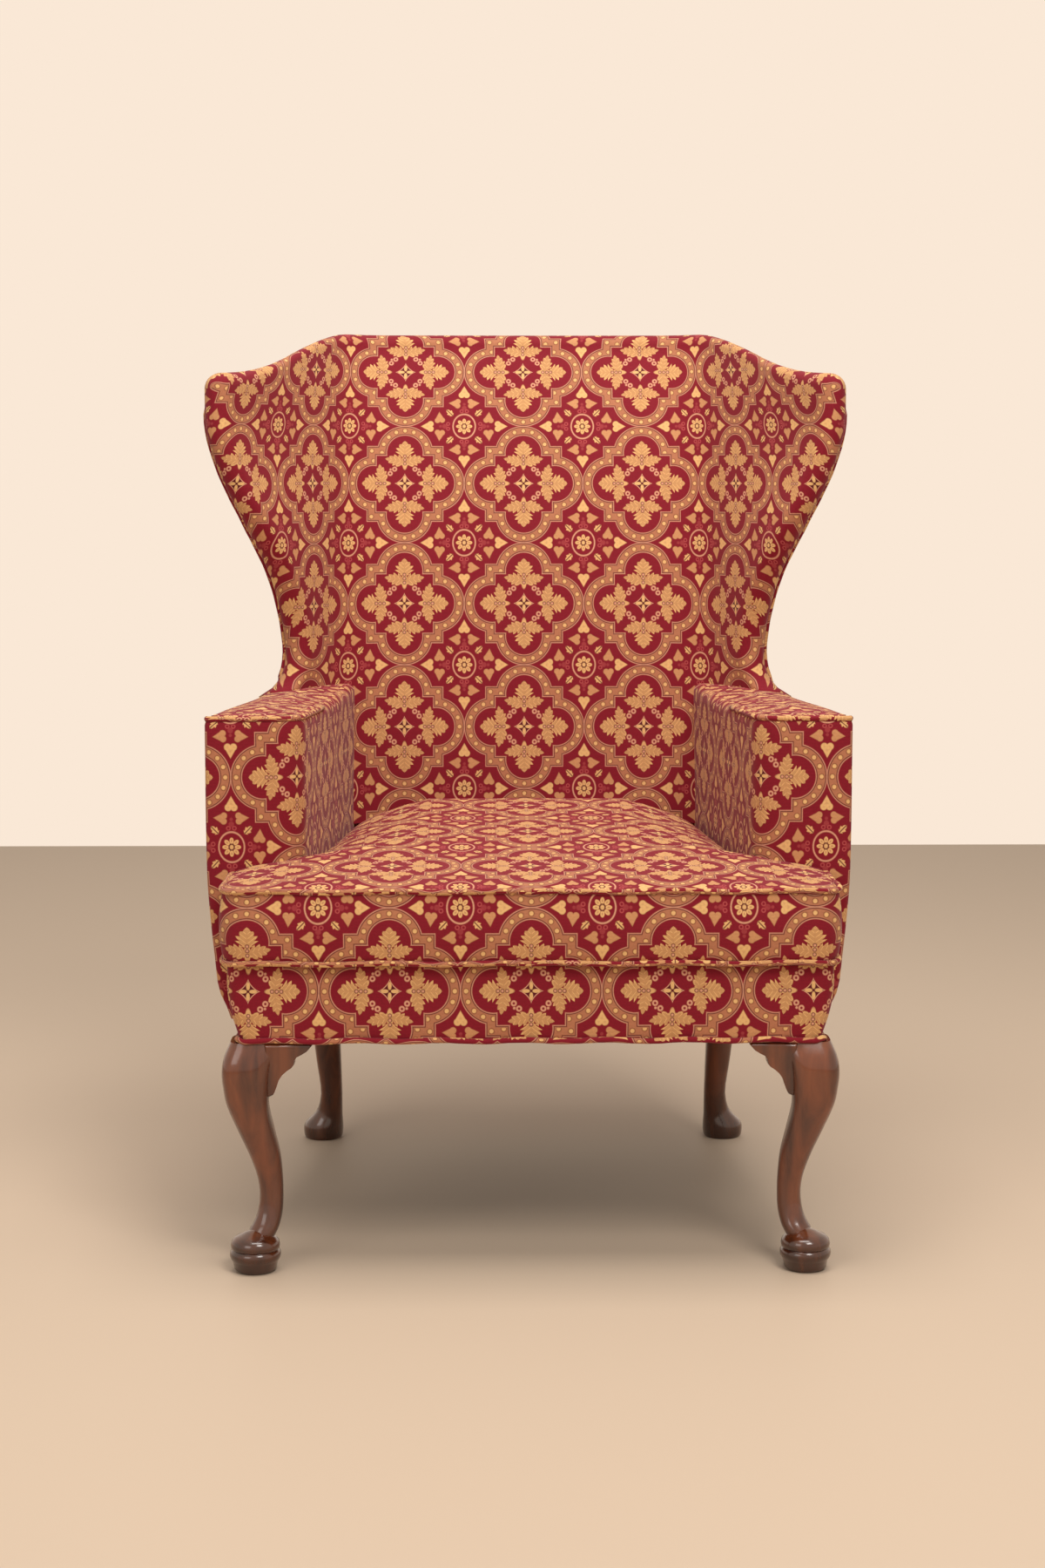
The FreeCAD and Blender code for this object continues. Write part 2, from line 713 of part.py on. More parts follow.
def wing_section(z, edge_x, edge_y):
    plan = wing_plan(z, edge_x, edge_y)
    start = v(BACK_FLAT_HALF, inside_back_y(z), z)
    middle_normal = v(0, 1, 0).add(plan["normal"]).normalize()
    bend_middle = plan["bend"].add(middle_normal.multiply(BACK_BEND))
    nose_front = plan["outward"].sub(plan["normal"]).normalize()
    if nose_front.y > 0:
        nose_front = nose_front.multiply(-1)
    nose_middle = plan["nose"].add(nose_front.multiply(WING_NOSE))
    rear = rear_y(z) - PAD_REAR
    along = plan["corner"].sub(plan["outer"])
    share = (rear - plan["outer"].y) / along.y
    outer_rear = plan["outer"].add(along.multiply(share))
    inner_rear = v(BACK_FLAT_HALF, rear, z)
    edges = [
        arc(start, bend_middle, plan["bend_end"]),
        segment(plan["bend_end"], plan["straight_end"]),
        arc(plan["straight_end"], nose_middle, plan["outer"]),
        segment(plan["outer"], outer_rear),
        segment(outer_rear, inner_rear),
        segment(inner_rear, start),
    ]
    return Part.Wire(edges)


def wing_quad(z, edge_x, edge_y, near, far, start, stop, extra=0.0):
    """Four-sided section beside the wing's outer line: near and far are depths in from that line,
    start and stop are distances behind the nose; stop None runs to the back corner."""
    plan = wing_plan(z, edge_x, edge_y)
    outward = plan["outward"]
    along = plan["corner"].sub(plan["outer"])
    length = along.Length
    along = Vector(along).normalize()
    if stop is None:
        stop = length + extra
    points = []
    for distance, depth in [(start, near), (stop, near), (stop, far), (start, far)]:
        p = plan["outer"].add(Vector(along).multiply(distance)).sub(Vector(outward).multiply(depth))
        points.append(p)
    return Part.makePolygon(points + [points[0]])


def upright_edge():
    """The wing's front edge without the flare of padding at the arm."""
    rows = WING_EDGE[WING_FLARE_ROWS:]
    first = rows[0]
    return [(ARM_RAIL_Z1, first[1], first[2])] + rows


PANEL_START = 3.0
WING_POST_START = -8.0
WING_POST_DEPTH = 42.0
WING_POST_NEAR = 5.5
WING_POST_FAR = WING_POST_NEAR + BOARD_THICK


def wing_post(gap=0.0):
    """Board at the wing's front edge; gap makes the room for it in its neighbours."""
    start = WING_POST_START - gap
    stop = WING_POST_START + WING_POST_DEPTH + gap
    wires = []
    for z, x, y in upright_edge():
        wires.append(wing_quad(z, x, y, WING_POST_NEAR - gap, WING_POST_FAR + gap, start, stop))
    return Part.makeLoft(wires, True, True)


def wing_rail(post, front):
    """Top board of the wing, a little thinner than the upright one."""
    wires = []
    for z, x, y in [WING_EDGE[-WING_RAIL_ROWS], WING_EDGE[-1]]:
        wires.append(wing_quad(z, x, y, WING_POST_NEAR, WING_POST_FAR - 3.0, 10.0, None, -20.0))
    rail = Part.makeLoft(wires, True, True).common(crest_tool(CREST_PAD))
    keep_off = raked_board(0, REACH, -REACH, POST_FRONT, ARM_TOP, CREST_TOP)
    return rail.cut(front).cut(post).cut(keep_off)


def rim_cut(path):
    """Tool that rounds the rim along a path of points with two bevels; the solid is on the path's left."""
    wires = []
    for k, spot in enumerate(path):
        before = path[max(k - 1, 0)]
        after = path[min(k + 1, len(path) - 1)]
        sides = []
        for a, b in [(before, spot), (spot, after)]:
            if a is not b:
                sides.append(v(a.y - b.y, b.x - a.x, 0).normalize())
        middle = sides[0].add(sides[-1]).normalize()
        inward = Vector(middle).multiply(1 / middle.dot(sides[0]))
        section = []
        for depth, down in [(-0.1, 1.2), (0.29, 0.29), (1.2, -0.1), (-1.0, -1.0)]:
            shift = Vector(inward).multiply(depth * CREST_EDGE)
            section.append(spot.add(shift).sub(v(0, 0, down * CREST_EDGE)))
        wires.append(Part.makePolygon(section + [section[0]]))
    return Part.makeLoft(wires, True, True)


def wing_rim():
    """Points along the top rim of the inside wing, from the back round the nose to the rear."""
    low = wing_section(*WING_EDGE[-2]).OrderedEdges
    high = wing_section(*WING_EDGE[-1]).OrderedEdges
    cap = crest_tool(0.0)
    points = []
    for low_edge, high_edge, count in zip(low, high, [WING_CHORDS, 8, WING_CHORDS, 6]):
        for a, b in zip(low_edge.discretize(count + 1), high_edge.discretize(count + 1)):
            spot = max((corner.Point for corner in segment(a, b).common(cap).Vertexes), key=lambda p: p.z)
            if not points or spot.sub(points[-1]).Length > 0.1:
                points.append(spot)
    first = points[0].sub(points[1]).normalize()
    last = points[-1].sub(points[-2]).normalize()
    return [points[0].add(first)] + points + [points[-1].add(last)]


def wing_pad():
    """Padded inside wing: it wraps the front edge, goes over the top and is open behind the board."""
    form = Part.makeLoft([faceted(wing_section(*row), WING_CHORDS) for row in WING_EDGE], True, True)
    form = form.common(crest_tool(0.0)).cut(rim_cut(wing_rim()))
    open_side = []
    far = WING_POST_FAR + CLEARANCE
    for z, x, y in upright_edge():
        open_side.append(wing_quad(z, x, y, -30.0, far, PANEL_START - CLEARANCE, None, 60.0))
    panel_side = []
    for z, x, y in WING_EDGE:
        panel_side.append(wing_quad(z, x, y, -30.0, COVER, PANEL_START - CLEARANCE, None, 60.0))
    room = Part.makeLoft(open_side, True, True).fuse(wing_post(CLEARANCE))
    under = crest_tool(CREST_PAD - CLEARANCE)
    return form.cut(room.common(under)).cut(Part.makeLoft(panel_side, True, True).common(under))


def outside_wing():
    wires = [wing_quad(z, x, y, 0.0, COVER, PANEL_START, None) for z, x, y in WING_EDGE]
    return Part.makeLoft(wires, True, True).common(crest_tool(CREST_PAD))


# Inside back

def inside_back():
    """Padded inside back. It goes over the crest rail, and its lower corners fill in to the arms."""
    count = 9
    low = DECK_TOP
    high = CREST_TOP + 12
    heights = [low + (high - low) * i / (count - 1) for i in range(count)]
    face_curve = Part.BSplineCurve()
    face_curve.interpolate([v(0, inside_back_y(z), z) for z in heights])
    pad_low = v(0, rear_y(low) - PAD_REAR, low)
    pad_high = v(0, rear_y(high) - PAD_REAR, high)
    edges = [
        face_curve.toShape(),
        segment(v(0, inside_back_y(high), high), pad_high),
        segment(pad_high, pad_low),
        segment(pad_low, v(0, inside_back_y(low), low)),
    ]
    profile = Part.Face(Part.Wire(edges))
    wide = profile.extrude(v(2 * ARM_INNER_BACK, 0, 0))
    wide.translate(v(-ARM_INNER_BACK, 0, 0))
    wide = wide.common(box(-REACH, REACH, 0, REACH, 0, ARM_TOP))
    narrow = profile.extrude(v(2 * BACK_FLAT_HALF, 0, 0))
    narrow.translate(v(-BACK_FLAT_HALF, 0, 0))
    narrow = narrow.common(crest_tool(0.0))
    front_top = [e for e in narrow.Edges if e.BoundBox.ZMin > CREST_TOP - 0.1 and on_back_face(e)]
    narrow = narrow.makeFillet(CREST_EDGE, front_top)
    cap = raked_board(-REACH, REACH, 0, PAD_REAR, CREST_TOP - WING_TOP_DROP - CREST_PAD, CREST_TOP + 10)
    cap = cap.common(between_wings()).common(crest_tool(0.0))
    rear_top = []
    for edge in cap.Edges:
        spot = edge.BoundBox
        at_rear = abs(spot.YMax - rear_y(spot.ZMax)) < 0.3
        if spot.ZMin > CREST_TOP - WING_TOP_DROP and spot.XLength > 1 and at_rear:
            rear_top.append(edge)
    cap = cap.makeFillet(CREST_EDGE, rear_top)
    cap = cap.cut(crest_tool(CREST_PAD - CLEARANCE))
    return wide.fuse(narrow).fuse(cap).removeSplitter()


def on_back_face(edge):
    return edge.BoundBox.XLength > BACK_FLAT_HALF and edge.BoundBox.YMax < inside_back_y(CREST_TOP) + 1


def between_wings():
    """Upright block that ends at the outer line of the wing tops."""
    z, x, y = WING_EDGE[-2]
    plan = wing_plan(z, x, y)
    outer = plan["outer"]
    corner = plan["corner"]
    slope = (corner.x - outer.x) / (corner.y - outer.y)
    near = outer.y
    far = corner.y + BACK_THICK
    near_x = corner.x + slope * (near - corner.y)
    far_x = corner.x + slope * (far - corner.y)
    points = [(-near_x, near), (near_x, near), (far_x, far), (-far_x, far)]
    return plan_prism(points, ARM_TOP, CREST_TOP + 20)


# Arms

def arm_cover():
    """Padded arm cover: front panel, inside arm and top in one, open underneath and outside."""
    rear = rear_y(ARM_TOP)
    corners = [
        (ARM_INNER_FRONT, ARM_SETBACK, ARM_CORNER),
        (ARM_OUTER_FRONT, ARM_SETBACK, 8.0),
        (arm_outer_x(rear), rear, 2.0),
        (ARM_INNER_BACK, rear, 2.0),
        (ARM_INNER_BACK, ARM_INNER_END, 10.0),
    ]
    outline = Part.Face(rounded_outline(corners, RAIL_BOTTOM))
    form = outline.extrude(v(0, 0, ARM_TOP - RAIL_BOTTOM))
    form = form.common(belly_face(0.0, ARM_TOP).extrude(v(0, REACH, 0)))
    edges = []
    for edge in form.Edges:
        spot = edge.BoundBox
        if spot.ZMin > ARM_TOP - 0.01 and spot.YMax < ARM_INNER_END + 12:
            if spot.XMin < ARM_INNER_FRONT + ARM_CORNER + 1 or spot.YMax < ARM_SETBACK + 0.5:
                edges.append(edge)
    form = form.makeFillet(ARM_EDGE, edges)
    inner = ARM_INNER_FRONT + ARM_SIDE_PAD - CLEARANCE
    hollow = [
        (inner, STUMP_Y0 - CLEARANCE),
        (REACH, STUMP_Y0 - CLEARANCE),
        (REACH, rear + 20),
        (POST_INNER_X - 6, rear + 20),
        (POST_INNER_X - 6, ARM_INNER_END),
    ]
    form = form.cut(plan_prism(hollow, 0, ARM_RAIL_Z1 + CLEARANCE / 2))
    form = form.cut(box(0, BORDER_HALF_TOP - 12, 0, REACH, 0, DECK_TOP))
    beside_post = POST_OUTER_X + CLEARANCE
    form = form.cut(raked_board(0, beside_post, -REACH, PAD_REAR, 0, CREST_TOP))
    form = form.cut(raked_board(beside_post, REACH, -REACH, COVER, 0, CREST_TOP))
    return form.cut(wing_post(CLEARANCE))


def outside_panel(near, far, y0):
    """Bellied sheet along the outside of the arm; near and far are depths in from its outer face."""
    wires = []
    for z in [RAIL_BOTTOM + rise for rise in (0, 14, 29, 59, 99, 169)] + [ARM_RAIL_Z1]:
        y1 = rear_y(z)
        slope = (BACK_HALF - belly_x(z)) / (y1 - ARM_SETBACK)
        x0 = belly_x(z) + slope * (y0 - ARM_SETBACK)
        corners = [(x0 - near, y0), (BACK_HALF - near, y1), (BACK_HALF - far, y1), (x0 - far, y0)]
        wires.append(polygon([(x, y, z) for x, y in corners]))
    return Part.makeLoft(wires, True, True)


def outside_arm():
    """Thin outside cover, with a strip turned in under the side rail."""
    y0 = STUMP_Y0 + CLEARANCE
    y1 = SEAT_FRAME_DEPTH - POST_FRONT - 2
    strip = [
        (side_rail_x(y0, TURN_UNDER), y0),
        (side_outer_x(y0) - COVER / 2, y0),
        (side_outer_x(y1) - COVER / 2, y1),
        (side_rail_x(y1, TURN_UNDER), y1),
    ]
    return outside_panel(0.0, COVER, y0).fuse(plan_prism(strip, RAIL_BOTTOM, RAIL_BOTTOM + 2))


def side_outer_x(y):
    """Outer line of the outside arm at the bottom edge."""
    slope = (BACK_HALF - BELLY[0][0]) / (SEAT_FRAME_DEPTH - ARM_SETBACK)
    return BELLY[0][0] + slope * (y - ARM_SETBACK)


def belly_x(z):
    """Half width of the arm front at height z, from the belly points."""
    for (x0, z0), (x1, z1) in zip(BELLY, BELLY[1:]):
        if z <= z1:
            return x0 + (x1 - x0) * (z - z0) / (z1 - z0)
    return ARM_OUTER_FRONT


# Seat

def webbing_strip(start, stop, crossings, first_over, across, width, level):
    """One strip from start to stop along X, over and under the strips that it crosses."""
    half = WEB_WIDTH / 2
    low = [(start, 0.0)]
    for k, place in enumerate(crossings):
        rise = WEB_THICK if (k % 2 == 0) == first_over else 0.0
        low.append((place - half, rise))
        low.append((place + half, rise))
    low.append((stop, 0.0))
    outline = [(a, across - width / 2, level + b) for a, b in low]
    outline += [(a, across - width / 2, level + b + WEB_THICK) for a, b in reversed(low)]
    return prism(outline, (0, width, 0))


def seat_webbing():
    along_x = [-2, -1, 0, 1, 2]
    pitch_x = 92.0
    pitch_y = 95.0
    first_y = 95.0
    rows = 5
    front = FRONT_POST_Y0 + 8
    back = rear_y(RAIL_TOP) - POST_REAR - 12
    xs = [k * pitch_x for k in along_x]
    ys = [first_y + k * pitch_y for k in range(rows)]
    strips = []
    for i, x in enumerate(xs):
        strip = webbing_strip(front, back, ys, i % 2 == 0, -x, WEB_WIDTH, RAIL_TOP)
        strip.rotate(v(0, 0, 0), v(0, 0, 1), 90)
        strips.append(strip)
    for j, y in enumerate(ys):
        reach = side_rail_x(y, 4)
        strips.append(webbing_strip(-reach, reach, xs, j % 2 == 1, y, WEB_WIDTH, RAIL_TOP))
    return Part.makeCompound(strips)


def back_webbing():
    """Interlaced strips on the front of the back frame, laid flat and then stood up in the rake."""
    pitch_x = 100.0
    pitch_s = 90.0
    first_s = 62.0
    xs = [k * pitch_x for k in [-1.5, -0.5, 0.5, 1.5]]
    low = BACK_TACK_Z0 + 6
    high = CREST_RAIL_Z0 + 40
    scale = 1 / math.cos(math.radians(RAKE_DEGREES))
    length = (high - low) * scale
    ss = [first_s + k * pitch_s for k in range(6)]
    strips = []
    for i, x in enumerate(xs):
        strip = webbing_strip(0, length, ss, i % 2 == 0, -x, WEB_WIDTH, 0)
        strip.rotate(v(0, 0, 0), v(0, 0, 1), 90)
        strips.append(strip)
    reach = POST_INNER_X + 30
    for j, s in enumerate(ss):
        strips.append(webbing_strip(-reach, reach, xs, j % 2 == 1, s, WEB_WIDTH, 0))
    web = Part.makeCompound(strips)
    web.rotate(v(0, 0, 0), v(1, 0, 0), 90 - RAKE_DEGREES)
    web.translate(v(0, rear_y(low) - POST_FRONT, low))
    return web


def tee_outline(front, ear_half, ear_back, gap, back, z, radii):
    """T-shaped plan: wide ears in front of the arms, then a body between them."""
    front_r, ear_r, neck_r, back_r = radii
    neck = arm_inner_x(ear_back) - gap
    tail = arm_inner_x(back) - gap
    right = [
        (ear_half, front, front_r),
        (ear_half, ear_back, ear_r),
        (neck, ear_back, neck_r),
        (tail, back, back_r),
    ]
    left = [(-x, y, r) for x, y, r in reversed(right)]
    return rounded_outline(right + left, z)


def deck():
    z0 = RAIL_TOP + 2 * WEB_THICK + CLEARANCE
    split = DECK_TOP - 2
    ear_back = ARM_SETBACK - 1
    back = inside_back_y(RAIL_TOP) - 4
    outline = tee_outline(BORDER_THICK + 1, FRONT_POST_X1, ear_back, 1.0, back, z0, (10, 4, 4, 8))
    pad = Part.Face(outline).extrude(v(0, 0, split - z0))
    outline = tee_outline(0.5, BORDER_HALF_TOP - 1, ear_back, 0.5, back, split, (12, 4, 4, 8))
    cloth = Part.Face(outline).extrude(v(0, 0, DECK_TOP - split))
    return pad, cloth


def front_border():
    """Padded band across the front rail with short returns to the arm fronts."""
    z0 = RAIL_BOTTOM
    z1 = DECK_TOP - 2
    wires = []
    for half, z in [(BORDER_HALF_BOTTOM, z0), (BORDER_HALF_TOP, z1)]:
        corners = [
            (half, 0, BORDER_CORNER),
            (half, ARM_SETBACK - CLEARANCE, 1.0),
            (-half, ARM_SETBACK - CLEARANCE, 1.0),
            (-half, 0, BORDER_CORNER),
        ]
        wires.append(rounded_outline(corners, z))
    form = Part.makeLoft(wires, True, True)
    inner = FRONT_POST_X1 + CLEARANCE
    room = box(-inner, inner, FRONT_POST_Y0, REACH, 0, REACH)
    return form.cut(room)


def dust_cover():
    """Thin cloth tacked under the rails, cut out round the four posts."""
    z1 = RAIL_BOTTOM + 2
    y0 = FRONT_POST_Y0 + 3
    y1 = SEAT_FRAME_DEPTH - POST_REAR - 8
    inset = TURN_UNDER + 0.5
    points = [(side_rail_x(y0, inset), y0), (side_rail_x(y1, inset), y1)]
    points += [(-x, y) for x, y in reversed(points)]
    sheet = plan_prism(points, z1 - 1, z1)
    for room in [
        box(FRONT_POST_X0 - 1, REACH, 0, FRONT_POST_Y1 + 1, 0, RAIL_TOP),
        box(POST_INNER_X - 1, REACH, SEAT_FRAME_DEPTH - POST_FRONT - 2, REACH, 0, RAIL_TOP),
    ]:
        sheet = sheet.cut(room).cut(mirrored(room))
    return sheet


# Cushion

def cushion_ring(z, grow=0.0):
    """Outline of the cushion at height z, grown outwards or drawn inwards."""
    front = -CUSHION_OVERHANG - grow
    ear_back = ARM_SETBACK - CUSHION_EAR_GAP - WELT_RADIUS + grow
    gap = CUSHION_SIDE_GAP + WELT_RADIUS - grow
    turns = [max(26.0 + grow, 4.0), max(12.0 + grow, 4.0), 10.0 - min(grow, 6.0), max(18.0 + grow, 4.0)]
    back = CUSHION_BACK + grow
    return faceted(tee_outline(front, CUSHION_EAR_HALF + grow, ear_back, gap, back, z, turns), 4)


CUSHION_Z0 = DECK_TOP + CLEARANCE
CUSHION_Z1 = CUSHION_Z0 + CUSHION_BOXING
CUSHION_MID = (CUSHION_Z0 + CUSHION_Z1) / 2
ZIP_FLOOR = CUSHION_BACK - ZIP_DEPTH


def cushion():
    """Cover with its wrap of padding, crowned on top, round a plain foam core."""
    seam = WELT_RADIUS + 1
    base = Part.makeLoft([cushion_ring(CUSHION_Z0, -7.0), cushion_ring(CUSHION_Z0 + seam)], True, True)
    rows = [(CUSHION_Z0 + seam, 0.0), (CUSHION_MID, CUSHION_SWELL), (CUSHION_Z1, 0.0)]
    boxing = Part.makeLoft([cushion_ring(z, grow) for z, grow in rows], True, True)
    rows = []
    for inset, share in [(0.0, 0.0), (3.0, 0.3), (10.0, 0.58), (24.0, 0.85), (50.0, 1.0)]:
        rows.append((CUSHION_Z1 + CUSHION_CROWN * share, -inset))
    crown = Part.makeLoft([cushion_ring(z, grow) for z, grow in rows], True, True)
    z0 = CUSHION_Z0 + CUSHION_LINING
    z1 = CUSHION_Z1 - CUSHION_LINING / 2
    room = Part.Face(cushion_ring(z0, -CUSHION_LINING)).extrude(v(0, 0, z1 - z0))
    core = Part.Face(cushion_ring(z0 + CLEARANCE, -CUSHION_LINING - CLEARANCE))
    core = core.extrude(v(0, 0, z1 - z0 - 2 * CLEARANCE))
    half = ZIP_HALF + CLEARANCE
    rise = ZIP_WIDTH / 2 + CLEARANCE
    zip_room = box(-half, half, ZIP_FLOOR, CUSHION_BACK + 20, CUSHION_MID - rise, CUSHION_MID + rise)
    return base.fuse(boxing).fuse(crown).cut(room).cut(zip_room), core


def cushion_zip():
    """Tape with its row of teeth, let into the rear boxing."""
    half = ZIP_WIDTH / 2
    tape_face = ZIP_FLOOR + ZIP_THICK / 2
    tape = box(-ZIP_HALF, ZIP_HALF, ZIP_FLOOR, tape_face, CUSHION_MID - half, CUSHION_MID + half)
    teeth = box(-ZIP_HALF, ZIP_HALF, ZIP_FLOOR, ZIP_FLOOR + ZIP_THICK, CUSHION_MID - 2, CUSHION_MID + 2)
    return tape.fuse(teeth)


def zip_slider():
    """Slider with its pull, at the right-hand end of the zip."""
    x = ZIP_HALF - 10
    y0 = ZIP_FLOOR + ZIP_THICK
    y1 = y0 + 2.6
    body = box(x - 6, x + 6, y0, y1, CUSHION_MID - 4, CUSHION_MID + 4)
    corners = [e for e in body.Edges if abs(e.BoundBox.YLength - 2.6) < 0.01]
    body = body.makeFillet(2.0, corners)
    pull = box(x - 3, x + 3, y1 - 1, y1, CUSHION_MID - 24, CUSHION_MID - 3)
    return body.fuse(pull)


def cushion_welt(z):
    return tube(cushion_ring(z, WELT_RADIUS), WELT_RADIUS)


# Welts

def arm_welt():
    """Cord on the rounded top edge, across the arm front and back along the inside."""
    angle = math.radians(ARM_WELT_ANGLE)
    reach = ARM_EDGE + WELT_RADIUS
    inset = ARM_EDGE - reach * math.cos(angle)
    z = ARM_TOP - ARM_EDGE + reach * math.sin(angle)
    y = ARM_SETBACK + inset
    points = [
        v(ARM_OUTER_FRONT - 6, y, z),
        v(arm_inner_x(y) + inset, y, z),
        v(arm_inner_x(ARM_WELT_END) + inset, ARM_WELT_END, z),
    ]
    return tube(turned_path(points, [ARM_CORNER - inset]), WELT_RADIUS)


def wing_welt():
    """Cord down the outer side of the wing's front edge."""
    away = WELT_RADIUS + CLEARANCE
    points = []
    for z, x, y in WING_EDGE[1:-1]:
        plan = wing_plan(z, x, y)
        points.append(plan["outer"].add(Vector(plan["outward"]).multiply(away)))
    radii = []
    for i in range(1, len(points) - 1):
        run_a = points[i].sub(points[i - 1])
        run_b = points[i + 1].sub(points[i])
        shorter = min(run_a.Length, run_b.Length)
        radii.append(0.25 * shorter / math.tan(run_a.getAngle(run_b) / 2))
    return tube(turned_path(points, radii), WELT_RADIUS)


def back_welt():
    """Cord round the sides and top of the outside back, lying on the face at its edge."""
    away = WELT_RADIUS / math.cos(math.radians(RAKE_DEGREES))
    top = CREST_TOP - CREST_PAD
    outline = [
        (BACK_HALF, RAIL_BOTTOM + 4),
        (BACK_HALF, top - 31),
        (CREST_FLAT_HALF + CREST_PAD, top),
    ]
    outline += [(-x, z) for x, z in reversed(outline)]
    points = [v(x, rear_y(z) + away, z) for x, z in outline]
    return tube(turned_path(points, [20.0, 40.0, 40.0, 20.0]), WELT_RADIUS)


def border_welt():
    """Cord along the bottom edge of the border and its returns."""
    r = WELT_RADIUS
    z = RAIL_BOTTOM + r
    half = BORDER_HALF_BOTTOM + r + 0.8
    end = ARM_SETBACK - 8
    points = [v(half, end, z), v(half, -r, z), v(-half, -r, z), v(-half, end, z)]
    return tube(turned_path(points, [BORDER_CORNER + r, BORDER_CORNER + r]), r)


BACK_TACK_Z0 = DECK_TOP + 49.0
CREST_RAIL_Z0 = CREST_TOP - 83.0

solids = {}


def pair(name, shape):
    solids[name + "_right"] = shape
    solids[name + "_left"] = mirrored(shape)


front_rail, side_rail, back_rail, front_mortise, side_mortise, back_mortise = seat_rails()
post = back_post()
front_block, rear_block = corner_blocks(post, back_rail)

# Front bolts run from the blocks' diagonal faces into the legs, rear bolts through to the back rail.
bolt_z = (front_block.BoundBox.ZMin + front_block.BoundBox.ZMax) / 2
front_rail_back = FRONT_POST_Y0 + 1 + RAIL_THICK
block_x = (FRONT_POST_X0 - BLOCK_LEG + side_rail_x(FRONT_POST_Y1 + BLOCK_LEG, RAIL_THICK)) / 2
block_y = (front_rail_back + FRONT_POST_Y1 + BLOCK_LEG) / 2
front_seat = v(block_x, block_y, bolt_z)
face_run = FRONT_POST_Y1 + BLOCK_LEG - front_rail_back
front_way = v(face_run, 2 * (FRONT_POST_X0 - BLOCK_LEG - block_x), 0).normalize()
rear_way = v(0, 1, 0)
rear_seat = v(POST_INNER_X - 34, rear_y(bolt_z) - POST_REAR - RAIL_THICK - 26, bolt_z)
front_room = bolt_room(front_seat, front_way, BOLT_LENGTH)
rear_room = bolt_room(rear_seat, rear_way, REAR_BOLT_LENGTH)
bolts = [bolt(front_seat, front_way, BOLT_LENGTH), bolt(rear_seat, rear_way, REAR_BOLT_LENGTH)]
bolts += [mirrored(shape) for shape in bolts]

crest_rail = raked_board(-POST_INNER_X, POST_INNER_X, POST_REAR, POST_REAR + 30, CREST_RAIL_Z0, CREST_TOP)
solids["front_rail"] = front_rail
solids["back_rail"] = back_rail.cut(rear_room).cut(mirrored(rear_room))
solids["crest_rail"] = crest_rail.common(crest_tool(CREST_PAD))
solids["back_tack_rail"] = raked_board(
    -POST_INNER_X, POST_INNER_X, POST_FRONT - 24, POST_FRONT, BACK_TACK_Z0, BACK_TACK_Z0 + 42
)
pair("side_rail", side_rail)
pair("front_leg", front_leg().cut(front_mortise).cut(side_mortise).cut(front_room))
pair("back_post", post.cut(side_mortise).cut(back_mortise))
pair("front_knee_block", front_knee_block())
pair("side_knee_block", side_knee_block())
pair("front_corner_block", front_block.cut(front_room))
pair("rear_corner_block", rear_block.cut(rear_room))
solids["corner_bolts"] = Part.makeCompound(bolts)
pair("arm_stump", arm_stump())
pair("arm_rail", arm_rail(post))
pair("arm_tack_rail", arm_tack_rail(post))
wing_board = wing_post().common(crest_tool(CREST_PAD))
pair("wing_post", wing_board)
pair("wing_rail", wing_rail(post, wing_board))

outside_back = raked_board(-BACK_HALF, BACK_HALF, 0, COVER, RAIL_BOTTOM + 2, CREST_TOP)
outside_back = outside_back.common(crest_tool(CREST_PAD))
solids["outside_back"] = outside_back
solids["inside_back"] = inside_back()
pair("wing_pad", wing_pad())
pair("arm_cover", arm_cover())
pair("outside_arm", outside_arm().cut(outside_back))
pair("outside_wing", outside_wing().cut(outside_back))
solids["front_border"] = front_border()
solids["dust_cover"] = dust_cover()
solids["seat_webbing"] = seat_webbing()
solids["back_webbing"] = back_webbing()
solids["deck_pad"], solids["deck_cloth"] = deck()
pair("arm_welt", arm_welt())
pair("wing_welt", wing_welt())
solids["back_welt"] = back_welt()
solids["border_welt"] = border_welt()

solids["cushion_cover"], solids["cushion_core"] = cushion()
solids["cushion_welt_top"] = cushion_welt(CUSHION_Z1)
solids["cushion_welt_bottom"] = cushion_welt(CUSHION_Z0 + WELT_RADIUS + 1)
solids["cushion_zip"] = cushion_zip()
solids["zip_slider"] = zip_slider()

front_most = solids["cushion_welt_top"].optimalBoundingBox().YMin
rear_most = solids["back_welt"].optimalBoundingBox().YMax
for name, shape in solids.items():
    shape.translate(v(0, -(front_most + rear_most) / 2, 0))
    shape.exportStep("parts/" + name + ".step")
    print(name, shape.isValid(), len(shape.Solids), round(shape.Volume))
print("depth", rear_most - front_most, "middle", (front_most + rear_most) / 2)
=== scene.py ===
import cmath
import math

import bpy
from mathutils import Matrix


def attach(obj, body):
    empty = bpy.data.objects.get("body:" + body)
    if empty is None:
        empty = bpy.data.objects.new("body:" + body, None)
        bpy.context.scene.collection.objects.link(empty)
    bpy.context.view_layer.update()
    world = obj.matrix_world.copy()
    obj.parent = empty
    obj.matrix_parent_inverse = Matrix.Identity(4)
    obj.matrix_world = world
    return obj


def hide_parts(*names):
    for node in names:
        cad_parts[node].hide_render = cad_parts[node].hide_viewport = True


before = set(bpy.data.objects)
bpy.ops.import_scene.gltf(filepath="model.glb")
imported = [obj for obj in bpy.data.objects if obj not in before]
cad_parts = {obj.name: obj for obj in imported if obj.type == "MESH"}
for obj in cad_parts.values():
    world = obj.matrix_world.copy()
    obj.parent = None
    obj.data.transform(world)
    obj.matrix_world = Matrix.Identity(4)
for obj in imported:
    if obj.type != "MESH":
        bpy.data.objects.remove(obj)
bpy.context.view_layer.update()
bpy.ops.object.select_all(action="DESELECT")

